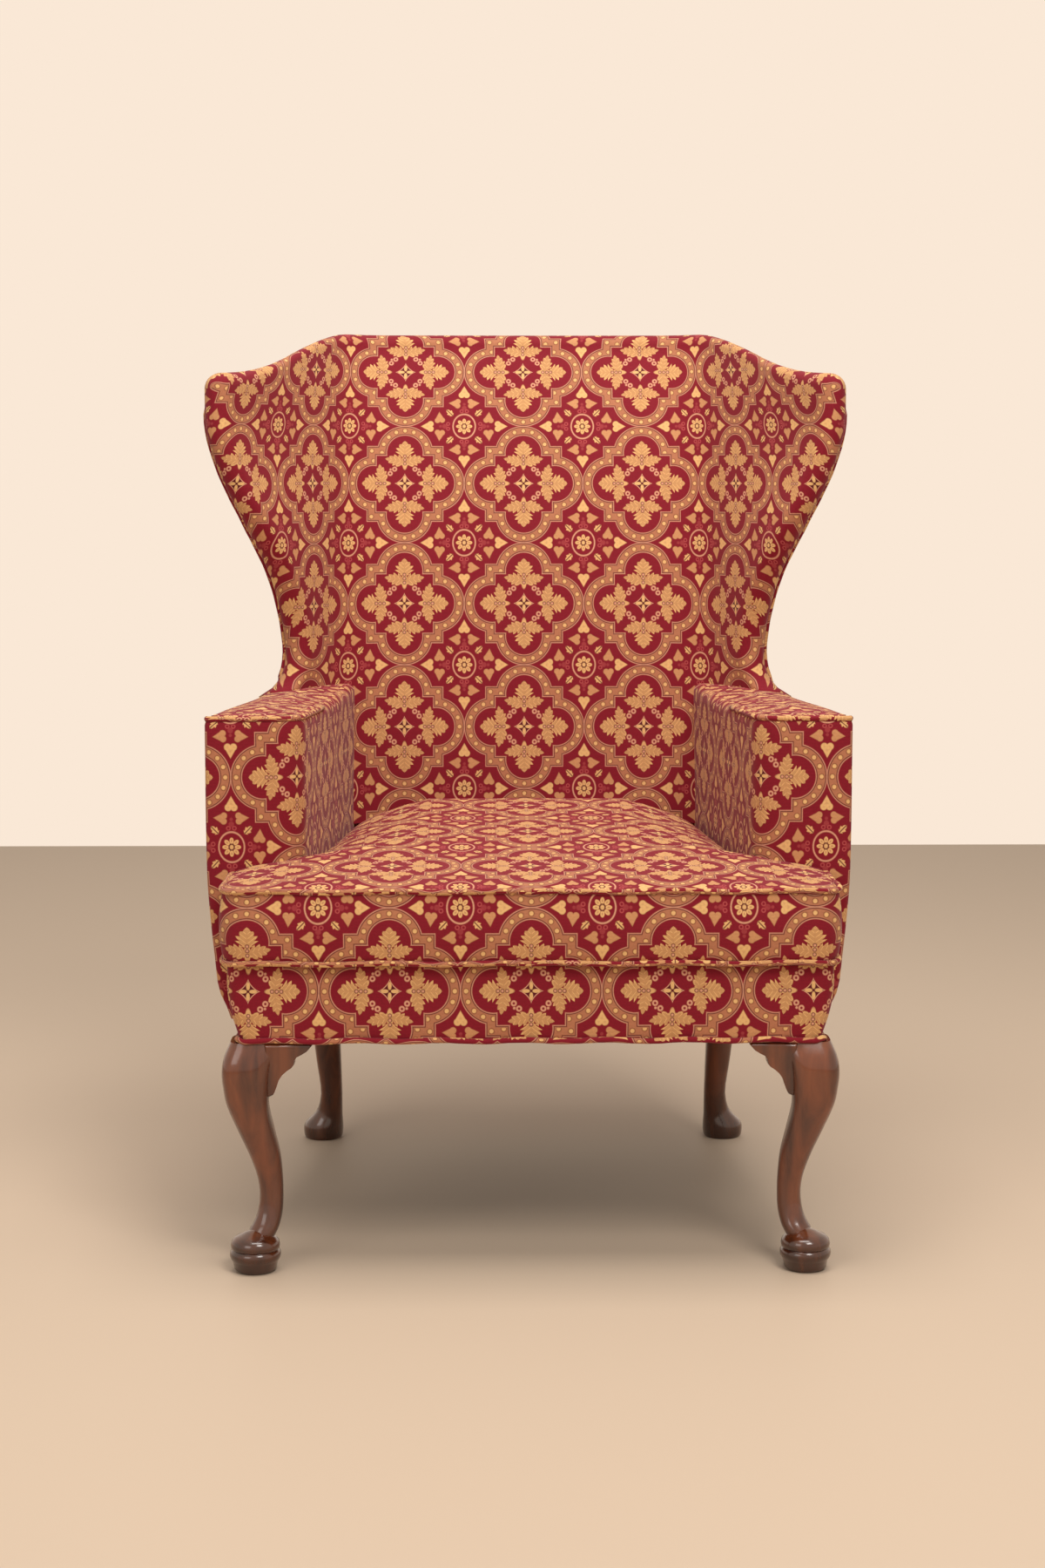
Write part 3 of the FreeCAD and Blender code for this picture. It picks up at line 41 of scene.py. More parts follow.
# Wingback armchair with a loose T-shaped seat cushion. Metres. In the sections below, a depth is
# measured behind the face of the front border; placed() moves it to the frame's origin, under the
# middle of the chair. The right-hand half is worked out and the left is its mirror image.
BORDER_FACE = -0.364
SIDES = (("right", 1), ("left", -1))


def placed(x, depth, z):
    return (x, depth + BORDER_FACE, z)


def placed_at(spot, z):
    """The point at height z over a plan point, which is written x + depth i."""
    return placed(spot.real, spot.imag, z)


def plan(row):
    """Plan points of a row of a piece's (point, place on the cloth)."""
    return [complex(x, y - BORDER_FACE) for (x, y, z), place in row]


# Jacquard cloth: woven burgundy ground with a trellis of barbed quatrefoils, acanthus leaves inside
# them and a rosette with hearts between them. One repeat is 154 mm across and 159 mm up. The pattern
# is drawn from distances, in repeats, in each piece's own UV map.
REPEAT_X = 0.154
REPEAT_Z = 0.159
SOFT_EDGE = 0.007


def linear(red, green, blue):
    """Colour as read on a screen, 0 to 255, as Blender's linear colour."""
    parts = []
    for c in (red, green, blue):
        c = c / 255
        parts.append(c / 12.92 if c <= 0.04045 else ((c + 0.055) / 1.055) ** 2.4)
    return (*parts, 1.0)


def new_node(tree, kind, inputs, **settings):
    """Shader node with its settings, and its inputs set to values or linked to sockets."""
    made = tree.nodes.new("ShaderNode" + kind)
    for name, value in settings.items():
        setattr(made, name, value)
    for name, value in inputs.items():
        if isinstance(value, bpy.types.NodeSocket):
            tree.links.new(value, made.inputs[name])
        else:
            made.inputs[name].default_value = value
    return made


class Field:
    """A number that varies over the cloth, made of Math nodes."""

    def __init__(self, socket):
        self.tree = socket.id_data
        self.socket = socket

    def math(self, operation, *others, clamp=False):
        values = [value.socket if isinstance(value, Field) else value for value in (self, *others)]
        made = new_node(self.tree, "Math", dict(enumerate(values)), operation=operation, use_clamp=clamp)
        return Field(made.outputs[0])

    def __add__(self, other):
        return self.math("ADD", other)

    def __sub__(self, other):
        return self.math("SUBTRACT", other)

    def __mul__(self, other):
        return self.math("MULTIPLY", other)

    def least(self, other):
        return self.math("MINIMUM", other)

    def most(self, other):
        return self.math("MAXIMUM", other)

    def size(self):
        return self.math("ABSOLUTE")

    def inside(self, edge=SOFT_EDGE):
        """1 where the distance is below zero and 0 above, with a soft edge."""
        return self.math("MULTIPLY_ADD", -1 / edge, 0.5, clamp=True)


def plane(across, up):
    """The vector (across, up, 0) of two fields."""
    return new_node(across.tree, "CombineXYZ", {0: across.socket, 1: up.socket}).outputs[0]


def apart(place, x, y):
    """Distance from the point (x, y)."""
    made = new_node(place.id_data, "VectorMath", {0: place, 1: (x, y, 0)}, operation="DISTANCE")
    return Field(made.outputs["Value"])


def seen_from(place, x, y, turn, scale=(1, 1, 1)):
    """The pattern's plane as seen from (x, y), turned and scaled."""
    inputs = {"Vector": place, "Location": (x, y, 0), "Rotation": (0, 0, turn), "Scale": scale}
    return new_node(place.id_data, "Mapping", inputs, vector_type="TEXTURE").outputs[0]


def oval(place, x, y, half_x, half_y, turn=0.0):
    """How far out from an oval's middle, with 1 at its edge."""
    return apart(seen_from(place, x, y, turn, (half_x, half_y, 1)), 0, 0)


def along_and_aside(place, x, y, turn):
    """Way along the line that leaves (x, y) at an angle, and distance to either side of it."""
    split = new_node(place.id_data, "SeparateXYZ", {0: seen_from(place, x, y, turn)})
    return Field(split.outputs[0]), Field(split.outputs[1]).size()


def leaf(place, x, y, length, half, turn, teeth):
    """Pointed, toothed leaf lobe from its foot at (x, y): its distance, all its veins, its middle vein
    and its way along."""
    way, aside = along_and_aside(place, x, y, turn)
    along = (way * (1 / length)).math("ADD", 0.0, clamp=True)
    full = along.math("POWER", 0.8)
    width = full * (full * -1.0 + 1.0) * (4 * half)
    tooth = (along * teeth + 0.35).math("FRACT") * 0.42 + 0.66
    slant = (along * teeth - aside * (0.8 * teeth / length)).math("FRACT")
    veins = ((slant - 0.5).size() * -1.0 + 0.40).least(aside * -1.0 + half * 0.7)
    middle = aside * -1.0 + 0.004
    return aside - width * tooth + 0.005, veins.most(middle) * -1.0, middle * -1.0, along


def heart(place, x, y, turn, half, length):
    """Distance from a heart with its tip length away from (x, y)."""
    along, aside = along_and_aside(place, x, y, turn)
    lobe = apart(plane(along, aside), half * 0.3, half * 0.46) - half * 0.54
    slope = half / (length - half * 0.3)
    taper = aside + along * slope - slope * length
    return lobe.least((taper * 0.9).most(along * -1.0 + half * 0.3))


def paint(under, mask, colour):
    """The colour laid over what is under it where the mask is 1."""
    made = new_node(mask.tree, "Mix", {"Factor": mask.socket}, data_type="RGBA")
    below, above = [s for s in made.inputs if s.type == "RGBA"]
    above.default_value = colour
    if isinstance(under, tuple):
        below.default_value = under
    else:
        mask.tree.links.new(under, below)
    return [s for s in made.outputs if s.type == "RGBA"][0]


def jacquard_pattern():
    tree = bpy.data.node_groups.new("jacquard_pattern", "ShaderNodeTree")
    tree.interface.new_socket(name="Place", in_out="INPUT", socket_type="NodeSocketVector")
    tree.interface.new_socket(name="Color", in_out="OUTPUT", socket_type="NodeSocketColor")
    tree.interface.new_socket(name="Height", in_out="OUTPUT", socket_type="NodeSocketFloat")
    start = tree.nodes.new("NodeGroupInput")
    end = tree.nodes.new("NodeGroupOutput")
    split = new_node(tree, "SeparateXYZ", {0: start.outputs[0]})
    across = Field(split.outputs[0]).math("PINGPONG", 0.5)
    up = Field(split.outputs[1]).math("PINGPONG", 0.5)

    # One eighth of the medallion stands for all of it
    far = across.most(up)
    near = across.least(up)
    octant = plane(far, near)
    lobe = apart(octant, 0.266, 0)
    frame_edge = (lobe - 0.236).least(far - 0.324)

    # One eighth of the rosette
    side = across * -1.0 + 0.5
    rise = up * -1.0 + 0.5
    quarter = plane(side, rise)
    eighth = plane(side.most(rise), side.least(rise))

    gold = linear(234, 184, 120)
    soft_gold = linear(206, 146, 98)
    pale = linear(222, 160, 126)
    tan = linear(184, 118, 84)
    wine = linear(92, 8, 24)
    scroll = linear(196, 88, 84)

    # Hearts, small leaves, scrolls, flower and ring between the medallions
    hearts = heart(eighth, 0.27, 0, 0, 0.047, 0.095)
    pair = heart(eighth, 0.205, 0.042, 1.5, 0.043, 0.088)
    sprig, _, sprig_vein, _ = leaf(eighth, 0.094, 0.094, 0.085, 0.031, 0.785, 3)
    curl = (apart(eighth, 0.136, 0.022) - 0.013).size() - 0.0035
    stem = (apart(eighth, 0.165, 0) - 0.02).least(apart(eighth, 0.2, 0) - 0.012)
    ring = oval(quarter, 0, 0, 0.094, 0.108)
    flower = oval(eighth, 0.045, 0, 0.021, 0.0135).least(oval(eighth, 0.033, 0.033, 0.021, 0.0135, 0.785))
    layers = [
        (hearts.inside(), gold),
        ((hearts + 0.024).inside(0.02), soft_gold),
        (pair.inside(), soft_gold),
        ((pair + 0.03).inside(0.02), tan),
        (sprig.inside(), gold),
        (sprig_vein.inside() * sprig.inside(), wine),
        (curl.inside() * 0.8, scroll),
        (stem.inside() * 0.35, scroll),
        (((ring - 1.0).size() - 0.055).inside(0.08), pale),
        ((flower - 1.12).inside(0.3), gold),
        ((flower - 0.45).inside(0.3) * 0.6, tan),
        ((ring - 0.24).inside(0.08), wine),
        ((ring - 0.15).inside(0.08), gold),
    ]

    # Leaves on each axis, curls, dots and the star in the middle
    medallion = (frame_edge + 0.084).inside()
    main, main_vein, _, main_way = leaf(octant, 0.220, 0, 0.152, 0.080, 0, 4.6)
    wing, wing_vein, _, wing_way = leaf(octant, 0.186, 0.0, 0.172, 0.055, 1.40, 4.6)
    spur = leaf(octant, 0.185, 0.01, 0.085, 0.024, 2.05, 2)[0]
    base = (oval(octant, 0.185, 0, 0.065, 0.022) - 1.0) * 0.03
    leaves = main.least(wing).least(spur).least(base)
    foot = (main_way.least(wing_way) * -1.0 + 0.42).math("MULTIPLY", 1.9, clamp=True)
    veins = (main_vein.inside() * main.inside()).most(wing_vein.inside() * wing.inside())
    bead_row = apart(octant, 0.17, 0).least(apart(octant, 0.204, 0)).least(apart(octant, 0.235, 0))
    curls = (apart(octant, 0.123, 0.086) - 0.015).size() - 0.006
    dot = apart(octant, 0.12, 0.12) - 0.009
    star = far.math("POWER", 0.72) + near.math("POWER", 0.72)
    star = star.math("POWER", 1 / 0.72) - 0.088
    petals = (oval(octant, 0.036, 0, 0.028, 0.013) - 1.0) * 0.02
    layers += [
        (leaves.inside(), gold),
        (foot * leaves.inside() * 0.25, tan),
        (veins * 0.38, linear(158, 84, 52)),
        ((bead_row - 0.015).inside(), wine),
        ((bead_row - 0.0095).inside(), pale),
        (curls.least(dot).inside() * medallion, pale),
        (star.inside(), pale),
        ((star + 0.012).inside(), wine),
        (petals.inside(), gold),
        ((apart(octant, 0, 0) - 0.009).inside(), wine),
    ]

    # Band round the medallion: tan between thin pale lines, with a row of beads
    band = (frame_edge + 0.042).size() - 0.042
    turn = near.math("ARCTAN2", far - 0.266).math("PINGPONG", math.radians(11.25))
    bead = apart(plane(lobe - 0.194, turn * 0.194), 0, 0).least(apart(octant, 0.282, 0.282))
    in_band = (band + 0.02).inside()
    layers += [
        (band.inside(), pale),
        ((band + 0.006).inside(), wine),
        ((band + 0.013).inside(), tan),
        ((bead - 0.022).inside() * in_band, linear(140, 78, 52)),
        ((bead - 0.0155).inside() * in_band, gold),
    ]

    colour = linear(132, 12, 32)
    for mask, tone in layers:
        colour = paint(colour, mask, tone)
    # The figured parts stand up a little from the ground
    raised = band.least(leaves).least(hearts).least(pair)
    tree.links.new(colour, end.inputs[0])
    tree.links.new(raised.inside(0.02).socket, end.inputs[1])
    return tree


JACQUARD = jacquard_pattern()


def new_material(name, values):
    """A material with values on its shader's inputs, its node tree and its shader."""
    material = bpy.data.materials.new(name)
    material.use_nodes = True
    shader = material.node_tree.nodes["Principled BSDF"]
    for place, value in values.items():
        shader.inputs[place].default_value = value
    return material, material.node_tree, shader


def raise_surface(shader, height, strength, distance):
    inputs = {"Strength": strength, "Distance": distance, "Height": height.socket}
    bump = new_node(height.tree, "Bump", inputs)
    height.tree.links.new(bump.outputs[0], shader.inputs["Normal"])


def jacquard_cloth(name, shift_x, shift_y):
    """Cloth with a medallion's middle shift_x, shift_y repeats from its UV map's origin."""
    material, tree, shader = new_material(
        name,
        {"Roughness": 0.78, "Specular IOR Level": 0.25, "Sheen Weight": 0.12, "Sheen Roughness": 0.45},
    )
    place = new_node(tree, "UVMap", {}, uv_map="cloth").outputs[0]
    moved = new_node(tree, "Mapping", {"Location": (-shift_x, -shift_y, 0), "Vector": place})
    pattern = new_node(tree, "Group", {0: moved.outputs[0]}, node_tree=JACQUARD)
    # A fine rib runs along the weft and a fleck over the whole cloth
    wave = {"Scale": 38, "Distortion": 1.5, "Detail Scale": 6, "Vector": place}
    rib = new_node(tree, "TexWave", wave, bands_direction="Y").outputs["Fac"]
    fleck = new_node(tree, "TexNoise", {"Scale": 60, "Detail": 3, "Vector": place}).outputs[0]
    shade = new_node(tree, "MapRange", {"To Min": 0.82, "To Max": 1.12, "Value": fleck})
    ribbed = new_node(tree, "MapRange", {"To Min": 0.9, "To Max": 1.06, "Value": rib})
    both = Field(shade.outputs[0]) * Field(ribbed.outputs[0])
    colours = {0: pattern.outputs["Color"], "Scale": both.socket}
    tint = new_node(tree, "VectorMath", colours, operation="SCALE")
    tree.links.new(tint.outputs[0], shader.inputs["Base Color"])
    raise_surface(shader, Field(pattern.outputs["Height"]) * 0.6 + Field(rib) * 0.4, 0.35, 0.0008)
    return material


def new_piece(name, points, faces, material):
    mesh = bpy.data.meshes.new(name)
    mesh.from_pydata(points, [], faces)
    mesh.materials.append(material)
    piece = bpy.data.objects.new(name, mesh)
    bpy.context.collection.objects.link(piece)
    return piece


def weld(piece, distance):
    """Join points that lie together and turn the faces one way. The piece stays selected."""
    piece.select_set(True)
    bpy.context.view_layer.objects.active = piece
    bpy.ops.object.mode_set(mode="EDIT")
    bpy.ops.mesh.select_all(action="SELECT")
    bpy.ops.mesh.remove_doubles(threshold=distance)
    bpy.ops.mesh.normals_make_consistent(inside=False)
    bpy.ops.object.mode_set(mode="OBJECT")


def cloth_piece(name, patches, material, body, middle):
    """Mesh of patches, each rows of ((x, y, z), (u, v)) with u, v in metres of cloth. Faces are turned
    away from middle, a point inside the piece."""
    points = []
    faces = []
    uvs = []
    for rows in patches:
        first = len(points)
        width = len(rows[0])
        points += [spot for row in rows for spot, place in row]
        uvs += [place for row in rows for spot, place in row]
        for i in range(len(rows) - 1):
            for j in range(width - 1):
                a = first + i * width + j
                faces.append((a, a + 1, a + 1 + width, a + width))
    piece = new_piece(name, points, faces, material)
    mesh = piece.data
    layer = mesh.uv_layers.new(name="cloth")
    for loop in mesh.loops:
        u, v = uvs[loop.vertex_index]
        layer.data[loop.index].uv = (u / REPEAT_X, v / REPEAT_Z)
    weld(piece, 0.00005)
    facing = 0.0
    for face in mesh.polygons:
        away = face.center.copy()
        for axis in range(3):
            away[axis] -= middle[axis]
        facing += face.area * face.normal.dot(away.normalized())
    if facing < 0:
        mesh.flip_normals()
    mesh.shade_smooth()
    piece.select_set(False)
    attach(piece, body)
    return piece


def grid(rows, columns, spot):
    """Rows of spot(i, j), with i up to rows and j up to columns."""
    return [[spot(i, j) for j in range(columns + 1)] for i in range(rows + 1)]


def mirrored(patches):
    return [[[((-x, y, z), (-u, v)) for (x, y, z), (u, v) in row] for row in rows] for rows in patches]


def on_side(patches, sign):
    return patches if sign > 0 else mirrored(patches)


# Inside back and wings: one padded shell. The back leans and rolls back towards the crest, bends
# forward into the wings with a 90 mm radius, goes round their 18 mm noses and over the crest.
RAIL_BOTTOM = 0.261
ARM_TOP = 0.609
CREST_TOP = 1.068
BACK_HALF = 0.296
BACK_FLAT_HALF = 0.165
BACK_BEND = 0.090
WING_NOSE = 0.018
REAR_AT_RAIL = 0.605
RAKE = math.radians(9.5)
WING_EDGE = [
    # height, half width, depth of the wing's front edge
    (0.609, 0.331, 0.402), (0.622, 0.312, 0.428), (0.65, 0.301, 0.441), (0.7, 0.304, 0.44),
    (0.76, 0.318, 0.421), (0.82, 0.344, 0.392), (0.88, 0.372, 0.377), (0.93, 0.3875, 0.373),
    (0.965, 0.39, 0.3745), (1.08, 0.39, 0.38),
]
CREST_LINE = [
    # half width, height of the top line
    (0.0, 1.068), (0.232, 1.068), (0.246, 1.0655), (0.262, 1.058), (0.288, 1.041), (0.306, 1.0275),
    (0.322, 1.018), (0.342, 1.01), (0.365, 1.0055), (0.392, 1.003),
]


def lengths(line):
    """Way along a line up to each of its plan points."""
    run = [0.0]
    for a, b in zip(line, line[1:]):
        run.append(run[-1] + abs(b - a))
    return run


def ways(line):
    """Direction of a line at each of its plan points."""
    ends = [line[0], *line, line[-1]]
    return [(after - before) / abs(after - before) for before, after in zip(ends, ends[2:])]


def between(rows, at):
    """Smooth reading of a table of rows (at, values...)."""
    last = len(rows) - 1
    if at <= rows[0][0]:
        return rows[0][1:]
    if at >= rows[last][0]:
        return rows[last][1:]
    k = 0
    while rows[k + 1][0] < at:
        k += 1
    a, b = rows[k], rows[k + 1]
    span = b[0] - a[0]
    t = (at - a[0]) / span
    values = []
    for c in range(1, len(a)):
        middle = (b[c] - a[c]) / span
        before = middle if k == 0 else (b[c] - rows[k - 1][c]) / (b[0] - rows[k - 1][0])
        after = middle if k + 1 == last else (rows[k + 2][c] - a[c]) / (rows[k + 2][0] - a[0])
        if (a[c] - b[c]) == 0:
            before = after = 0.0
        values.append(
            a[c] * (1 + 2 * t) * (1 - t) ** 2
            + b[c] * t * t * (3 - 2 * t)
            + span * (before * t * (1 - t) ** 2 - after * t * t * (1 - t))
        )
    return values


def inside_back_depth(z):
    """Depth of the inside back, which rolls back towards the crest."""
    t = (z - 0.445) / 0.595
    return 0.518 + 0.056 * t + 0.090 * t**3


def rear_depth(z):
    return REAR_AT_RAIL + (z - RAIL_BOTTOM) * math.tan(RAKE)


def crest_height(x):
    return between(CREST_LINE, abs(x))[0]


def wing_plan(z):
    """Half section at height z as points (x + depth i) with their way along the cloth."""
    edge_x, edge_depth = between(WING_EDGE, z)
    nose = complex(edge_x - WING_NOSE, edge_depth + WING_NOSE)
    face = inside_back_depth(z)
    bend = complex(BACK_FLAT_HALF, face - BACK_BEND)
    way = nose - bend
    normal = way / abs(way) * cmath.exp(1j * math.acos((BACK_BEND + WING_NOSE) / abs(way)))
    corner = complex(BACK_HALF, rear_depth(z))
    way = corner - nose
    outward = way / abs(way) * cmath.exp(-1j * math.acos(WING_NOSE / abs(way)))
    points = [complex(BACK_FLAT_HALF * k / 11, face) for k in range(11)]
    start = math.pi / 2
    turn = cmath.phase(normal) - start
    points += [bend + BACK_BEND * cmath.exp(1j * (start + turn * k / 8)) for k in range(8)]
    bend_end = bend + BACK_BEND * normal
    straight_end = nose - WING_NOSE * normal
    points += [bend_end + (straight_end - bend_end) * k / 14 for k in range(14)]
    start = cmath.phase(-normal)
    turn = cmath.phase(outward) - start
    points += [nose + WING_NOSE * cmath.exp(1j * (start + turn * k / 10)) for k in range(11)]
    return points, nose + WING_NOSE * outward, corner


# Along its section the shell has 11 points on the flat back, 8 round the bend, 14 along the wing and 11
# on the nose.
WING_START = 19
NOSE_START = 33
SHELL_COUNT = 44
CREST_ROLL = 0.018
SHELL_FOOT = 0.44


def crest_roll(near, far, edge):
    """Strip of the top from a point on the front edge over the crest to its point on the outer line."""
    length = abs(far - near)
    roll = min(CREST_ROLL, length / 2)
    (x, y, z), (u, v) = edge
    turn = [roll * (1 - math.cos(math.pi * k / 12)) for k in range(7)]
    flat = [roll + (length - 2 * roll) * k / 5 for k in range(1, 5)]
    strip = []
    run = 0.0
    previous = None
    for way in turn + flat + [length - d for d in reversed(turn)]:
        spot = near + (far - near) * (way / length if length > 1e-9 else 0)
        inset = min(way, length - way, roll)
        drop = CREST_ROLL - math.sqrt(max(0.0, roll**2 - (roll - inset) ** 2))
        here = placed_at(spot, crest_height(spot.real) - drop) if way else (x, y, z)
        run += math.dist(here, previous) if previous else 0.0
        previous = here
        strip.append((here, (u, v + run)))
    return strip


def shell_patches():
    """The front sheet from the middle round the nose, and the top from its edge to the outer line."""
    heights = [SHELL_FOOT + (ARM_TOP - 0.0005 - SHELL_FOOT) * k / 9 for k in range(9)]
    heights += [ARM_TOP + (CREST_TOP - ARM_TOP) * k / 40 for k in range(41)]
    rises = lengths([complex(z, inside_back_depth(z)) for z in heights])
    tops = []
    for j in range(SHELL_COUNT):
        z = CREST_TOP - CREST_ROLL
        for _ in range(6):
            z = crest_height(wing_plan(z)[0][j].real) - CREST_ROLL
        tops.append(z)
    rows = []
    for z, rise in zip(heights, rises):
        share = max(0.0, (z - ARM_TOP) / (CREST_TOP - ARM_TOP))
        row = []
        for j in range(SHELL_COUNT):
            own_z = z if z < ARM_TOP else ARM_TOP + share * (tops[j] - ARM_TOP)
            points = wing_plan(own_z)[0]
            spot = points[j]
            if z < ARM_TOP and j > WING_START:
                # Below the arm top the wing's foot is hidden inside the arm
                spot += complex(-0.02, 0.045) * min(1.0, (j - WING_START) / 8)
            up = rise * (own_z - SHELL_FOOT) / max(z - SHELL_FOOT, 1e-6)
            row.append((placed_at(spot, own_z), (lengths(points)[j], up)))
        rows.append(row)
    edge = rows[-1]
    points = plan(edge)
    outer = points[-1]
    corner = complex(BACK_HALF, rear_depth(tops[WING_START]))
    side_run = abs(outer - corner)
    walked = lengths(points[: NOSE_START + 1])
    top = []
    for j in range(SHELL_COUNT - 5):
        if j > NOSE_START:
            far = points[SHELL_COUNT - 1 + NOSE_START - j]
        else:
            way = walked[j] / walked[-1] * (BACK_HALF + side_run)
            if way <= BACK_HALF:
                far = complex(way, rear_depth(crest_height(way) - CREST_ROLL))
            else:
                far = corner + (outer - corner) * (way - BACK_HALF) / side_run
        top.append(crest_roll(points[j], far, edge[j]))
    return [rows, top]


def shell_piece():
    right = shell_patches()
    cloth = jacquard_cloth("back_cloth", 0.0, 0.77)
    shell = cloth_piece(
        "inside_back_and_wings", right + mirrored(right), cloth, "chair", (0, 0.16, 0.8)
    )
    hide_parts("inside_back", "wing_pad_left", "wing_pad_right")
    return shell


shell_piece()


# Arm covers: a padded front panel that flows round the inner corner and back along the inside arm,
# with a crowned top pad that sweeps up to the wing. The front follows the arm's belly.
ARM_SETBACK = 0.128
ARM_OUTER_FRONT = 0.367
ARM_INNER_FRONT = 0.258
ARM_INNER_BACK = 0.214
ARM_INNER_END = 0.545
ARM_CORNER = 0.034
ARM_EDGE = 0.012
ARM_OUTER_EDGE = 0.007
ARM_CROWN = 0.005
ARM_END = ARM_INNER_END + 0.03
BELLY = [
    # height, half width at the arm's front
    (0.261, 0.341), (0.275, 0.3458), (0.287, 0.3517), (0.301, 0.3557), (0.33, 0.3586), (0.37, 0.3626),
    (0.43, 0.3665), (0.609, 0.367),
]


def arm_outer(depth, z):
    """Outer line of the arm: from the belly at its front to the back corner."""
    front = between(BELLY, z)[0]
    rear = rear_depth(z)
    share = (depth - ARM_SETBACK) / (rear - ARM_SETBACK)
    return front + (BACK_HALF - front) * share


def arm_wall_path(z):
    """Plan points of the arm's wall at height z, from the outer front edge round to the inside arm."""
    centre = complex(arm_outer(ARM_SETBACK, z) - ARM_OUTER_EDGE, ARM_SETBACK + ARM_OUTER_EDGE)
    points = [centre + ARM_OUTER_EDGE * cmath.exp(-1j * math.pi * k / 8) for k in range(5)]
    along = complex(ARM_INNER_BACK - ARM_INNER_FRONT, ARM_INNER_END - ARM_SETBACK)
    along /= abs(along)
    inside = cmath.phase(along)
    start = ARM_INNER_FRONT + ARM_CORNER * math.tan((math.pi - inside) / 2)
    points += [complex(centre.real + (start - centre.real) * k / 8, ARM_SETBACK) for k in range(1, 8)]
    centre = complex(start, ARM_SETBACK + ARM_CORNER)
    first = 1.5 * math.pi
    turn = inside + math.pi / 2 - first
    points += [centre + ARM_CORNER * cmath.exp(1j * (first + turn * k / 10)) for k in range(11)]
    here = points[-1]
    length = (ARM_END - here.imag) / along.imag
    points += [here + along * length * k / 16 for k in range(1, 17)]
    return points


def wing_sweep(depth):
    """How far the arm's top rises where it runs up into the wing."""
    return 0.012 * max(0.0, (depth - 0.33) / 0.2) ** 2


def arm_patches():
    """The arm's wall with its rounded top edge, and the crowned top."""
    wall = []
    for k in range(25):
        z = RAIL_BOTTOM + 0.001 + (ARM_TOP - ARM_EDGE - RAIL_BOTTOM) * k / 24
        line = arm_wall_path(z)
        # The cloth is measured from the middle of the front panel
        row = [(placed_at(p, z), (ARM_OUTER_FRONT - r, z)) for p, r in zip(line, lengths(line))]
        wall.append(row)
    edge = wall[-1]
    line = arm_wall_path(ARM_TOP - ARM_EDGE)
    for k in range(1, 6):
        angle = math.pi / 2 * k / 5
        z = ARM_TOP - ARM_EDGE + ARM_EDGE * math.sin(angle)
        row = []
        for p, way, (_, (u, v)) in zip(line, ways(line), edge):
            spot = p - way * 1j * ARM_EDGE * (1 - math.cos(angle))
            here = placed_at(spot, z + wing_sweep(spot.imag))
            row.append((here, (u, v + ARM_EDGE * angle)))
        wall.append(row)
    inner = plan(wall[-1])
    front = ARM_SETBACK + ARM_EDGE
    top = []
    for i in range(27):
        depth = front + (ARM_END - front) * i / 26
        crossing = None
        for a, b in zip(inner, inner[1:]):
            if a.imag < depth <= b.imag and a.real < 0.34:
                crossing = a + (b - a) * (depth - a.imag) / (b.imag - a.imag)
        low_x = crossing.real if crossing else min(p.real for p in inner if abs(p.imag - front) < 0.004)
        high_x = arm_outer(depth, ARM_TOP)
        row = []
        for k in range(13):
            x = low_x + (high_x - low_x) * k / 12
            lift = ARM_CROWN * math.sin(math.pi * k / 12) * min(1.0, i / 4) if k < 12 else -0.006
            here = placed(x, depth, ARM_TOP + lift + wing_sweep(depth))
            row.append((here, (ARM_OUTER_FRONT - high_x + x - 0.29, depth)))
        top.append(row)
    return [wall, top]


def arm_covers():
    right = arm_patches()
    for side, sign in SIDES:
        cloth = jacquard_cloth("arm_cloth_" + side, 0.666 * sign, 0.394)
        middle = placed(0.31 * sign, 0.35, 0.45)
        cover = cloth_piece(
            "arm_cover_cloth_" + side, on_side(right, sign), cloth, "chair", middle
        )
        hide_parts("arm_cover_" + side)


arm_covers()


def outside_arm(i, j):
    z = RAIL_BOTTOM + 0.001 + (ARM_TOP - 0.005 - RAIL_BOTTOM) * i / 24
    start = ARM_SETBACK + 0.0065
    depth = start + (rear_depth(z) - 0.002 - start) * j / 24
    puff = 0.002 * math.sin(math.pi * j / 24) * math.sin(math.pi * i / 24)
    return placed(arm_outer(depth, z) + puff, depth, z), (depth, z)


def outside_wing(i, j):
    z = start = ARM_TOP - 0.005
    for _ in range(4):
        points, outer, corner = wing_plan(z)
        spot = outer + (corner - outer) * (0.012 + 0.986 * j / 16)
        z = start + (crest_height(spot.real) - CREST_ROLL - start) * i / 24
    puff = 0.003 * math.sin(math.pi * j / 16) * math.sin(math.pi * i / 24)
    return placed_at(spot + puff, z), (spot.imag, z)


def outside_back(i, j):
    share = j / 12 - 1
    x = BACK_HALF * share
    low = RAIL_BOTTOM + 0.002
    z = low + (crest_height(x) - CREST_ROLL - low) * i / 32
    puff = 0.004 * (1 - share**2) * math.sin(math.pi * i / 32)
    return placed(x, rear_depth(z) + puff, z), (x, z)


def outside_covers():
    cloth = jacquard_cloth("outside_cloth", 0.5, 0.15)
    for side, sign in SIDES:
        patches = on_side([grid(24, 24, outside_arm)], sign)
        arm = cloth_piece("outside_arm_cloth_" + side, patches, cloth, "chair", (0, 0.05, 0.45))
        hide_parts("outside_arm_" + side)
        patches = on_side([grid(24, 16, outside_wing)], sign)
        wing = cloth_piece("outside_wing_cloth_" + side, patches, cloth, "chair", (0, 0.1, 0.8))
        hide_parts("outside_wing_" + side)

    rows = grid(32, 24, outside_back)
    back = cloth_piece("outside_back_cloth", [rows], cloth, "chair", (0, 0, 0.6))
    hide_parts("outside_back")


outside_covers()


# Front border: one strip stretched over the front rail, with a return round each corner as far as
# the arm, a little wavy along its lower edge.
BORDER_HALF_TOP = 0.332
BORDER_HALF_BOTTOM = 0.319
BORDER_CORNER = 0.012
DECK_TOP = 0.346


